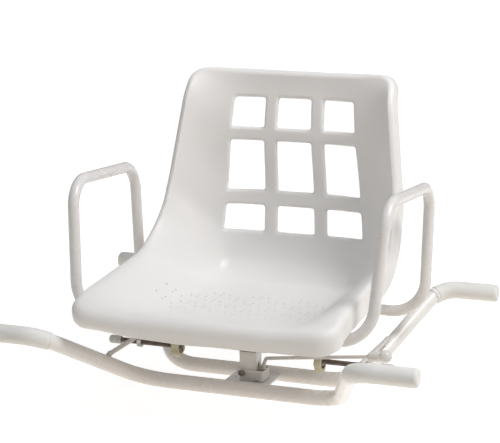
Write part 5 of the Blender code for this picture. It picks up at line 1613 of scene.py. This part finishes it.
def make_floor():
    """A pale floor that shows white with a soft shadow, and can be seen through from below.

    Camera, glossy and see-through rays meet a white surface with a glow that
    grows outwards; the rays that light the object meet a warmer one.
    """
    ends = np.array([-FLOOR_HALF, FLOOR_HALF])
    floor = piece("studio_floor", grid_from(ends[None, :], ends[:, None], FLOOR_Z), around=False)
    material = bpy.data.materials.new("studio_floor")
    material.use_nodes = True
    tree = Tree(material.node_tree)
    nodes = material.node_tree.nodes
    nodes.remove(nodes["Principled BSDF"])
    place = tree.add("ShaderNodeTexCoord").outputs["Object"]
    away = tree.add("ShaderNodeVectorMath", {0: place}, operation="LENGTH").outputs["Value"]

    def glowing(colour, glow_colour, strength):
        """A matt surface that also gives off light."""
        matt = tree.add("ShaderNodeBsdfDiffuse", {"Color": colour}).outputs[0]
        glow = tree.add("ShaderNodeEmission", {"Color": glow_colour, "Strength": strength}).outputs[0]
        return tree.add("ShaderNodeAddShader", {0: matt, 1: glow}).outputs[0]

    warm = tree.mix(tree.noise(place, 2.0, 2.0), (0.50, 0.465, 0.42), (0.54, 0.505, 0.46))
    bounce = glowing(warm, (1.0, 0.92, 0.82), tree.span(away, 0.2, 1.3, 0.62, 0.26))
    white = glowing((0.50, 0.50, 0.50), (1.0, 1.0, 1.0), tree.span(away, 0.6, 3.0, 0.79, 0.89))
    rays = tree.add("ShaderNodeLightPath").outputs
    seen = tree.math("MAXIMUM", rays["Is Camera Ray"], rays["Is Glossy Ray"])
    seen = tree.math("MAXIMUM", seen, rays["Is Transmission Ray"])
    above = tree.add("ShaderNodeMixShader", {0: seen, 1: bounce, 2: white}).outputs[0]
    clear = tree.add("ShaderNodeBsdfTransparent").outputs[0]
    under = tree.add("ShaderNodeNewGeometry").outputs["Backfacing"]
    final = tree.add("ShaderNodeMixShader", {0: under, 1: above, 2: clear}).outputs[0]
    tree.feed(nodes["Material Output"], {"Surface": final})
    painted(floor.data, material)


def make_world():
    """White to the camera; for light, a bright cool ceiling over a dimmer warm ground."""
    world = bpy.data.worlds.new("studio")
    world.use_nodes = True
    bpy.context.scene.world = world
    tree = Tree(world.node_tree)
    direction = tree.add("ShaderNodeTexCoord").outputs["Generated"]
    height = tree.add("ShaderNodeSeparateXYZ", {0: direction}).outputs["Z"]
    sky = tree.mix(tree.span(height, -0.25, 0.75), (0.64, 0.59, 0.53), (0.94, 0.96, 1.0))
    light = tree.add("ShaderNodeBackground", {"Color": sky, "Strength": 0.33}).outputs[0]
    white = tree.add("ShaderNodeBackground", {"Color": (1.0, 1.0, 1.0), "Strength": 1.0}).outputs[0]
    rays = tree.add("ShaderNodeLightPath").outputs
    seen = tree.math("MAXIMUM", rays["Is Camera Ray"], rays["Is Transmission Ray"])
    mixed = tree.add("ShaderNodeMixShader", {0: seen, 1: light, 2: white}).outputs[0]
    tree.feed(world.node_tree.nodes["World Output"], {"Surface": mixed})


def make_lamps():
    """Square area lamps, all aimed at the middle of the seat."""
    for name, place, size, power, colour in LAMPS:
        lamp = bpy.data.lights.new(name, "AREA")
        lamp.size = size
        lamp.energy = power
        lamp.color = colour
        thing = placed(name, lamp)
        thing.location = place
        thing.rotation_euler = (Vector(LAMP_TARGET) - Vector(place)).to_track_quat("-Z", "Y").to_euler()


def make_camera():
    """The photograph's camera: its back points at the azimuth and elevation, and its right is level."""
    across, up = math.cos(CAMERA_ELEVATION), math.sin(CAMERA_ELEVATION)
    right = Vector((math.cos(CAMERA_AZIMUTH), math.sin(CAMERA_AZIMUTH), 0.0))
    back = Vector((math.sin(CAMERA_AZIMUTH) * across, -math.cos(CAMERA_AZIMUTH) * across, up))
    turn = Matrix((right, back.cross(right), back)).transposed().to_4x4()
    lens = bpy.data.cameras.new("camera")
    lens.lens = CAMERA_LENS
    lens.clip_end = CAMERA_REACH
    camera = placed("camera", lens)
    camera.matrix_world = Matrix.Translation(CAMERA_PLACE) @ turn
    bpy.context.scene.camera = camera
    bpy.context.scene.view_settings.view_transform = "Standard"


def main():
    """Build every visible piece, then the studio."""
    make_frame_tubes()
    make_grips()
    make_struts()
    make_base_plate()
    make_post()
    make_bush_flange()
    make_pivot_and_retaining_bolts()
    make_rocker()
    make_lever()
    for side_name in SIDES:
        make_adjuster(side_name)
    make_armrests()
    make_carrier()
    make_seat_bolts()
    make_shell()
    make_hidden_nodes()
    make_floor()
    make_world()
    make_lamps()
    make_camera()


main()
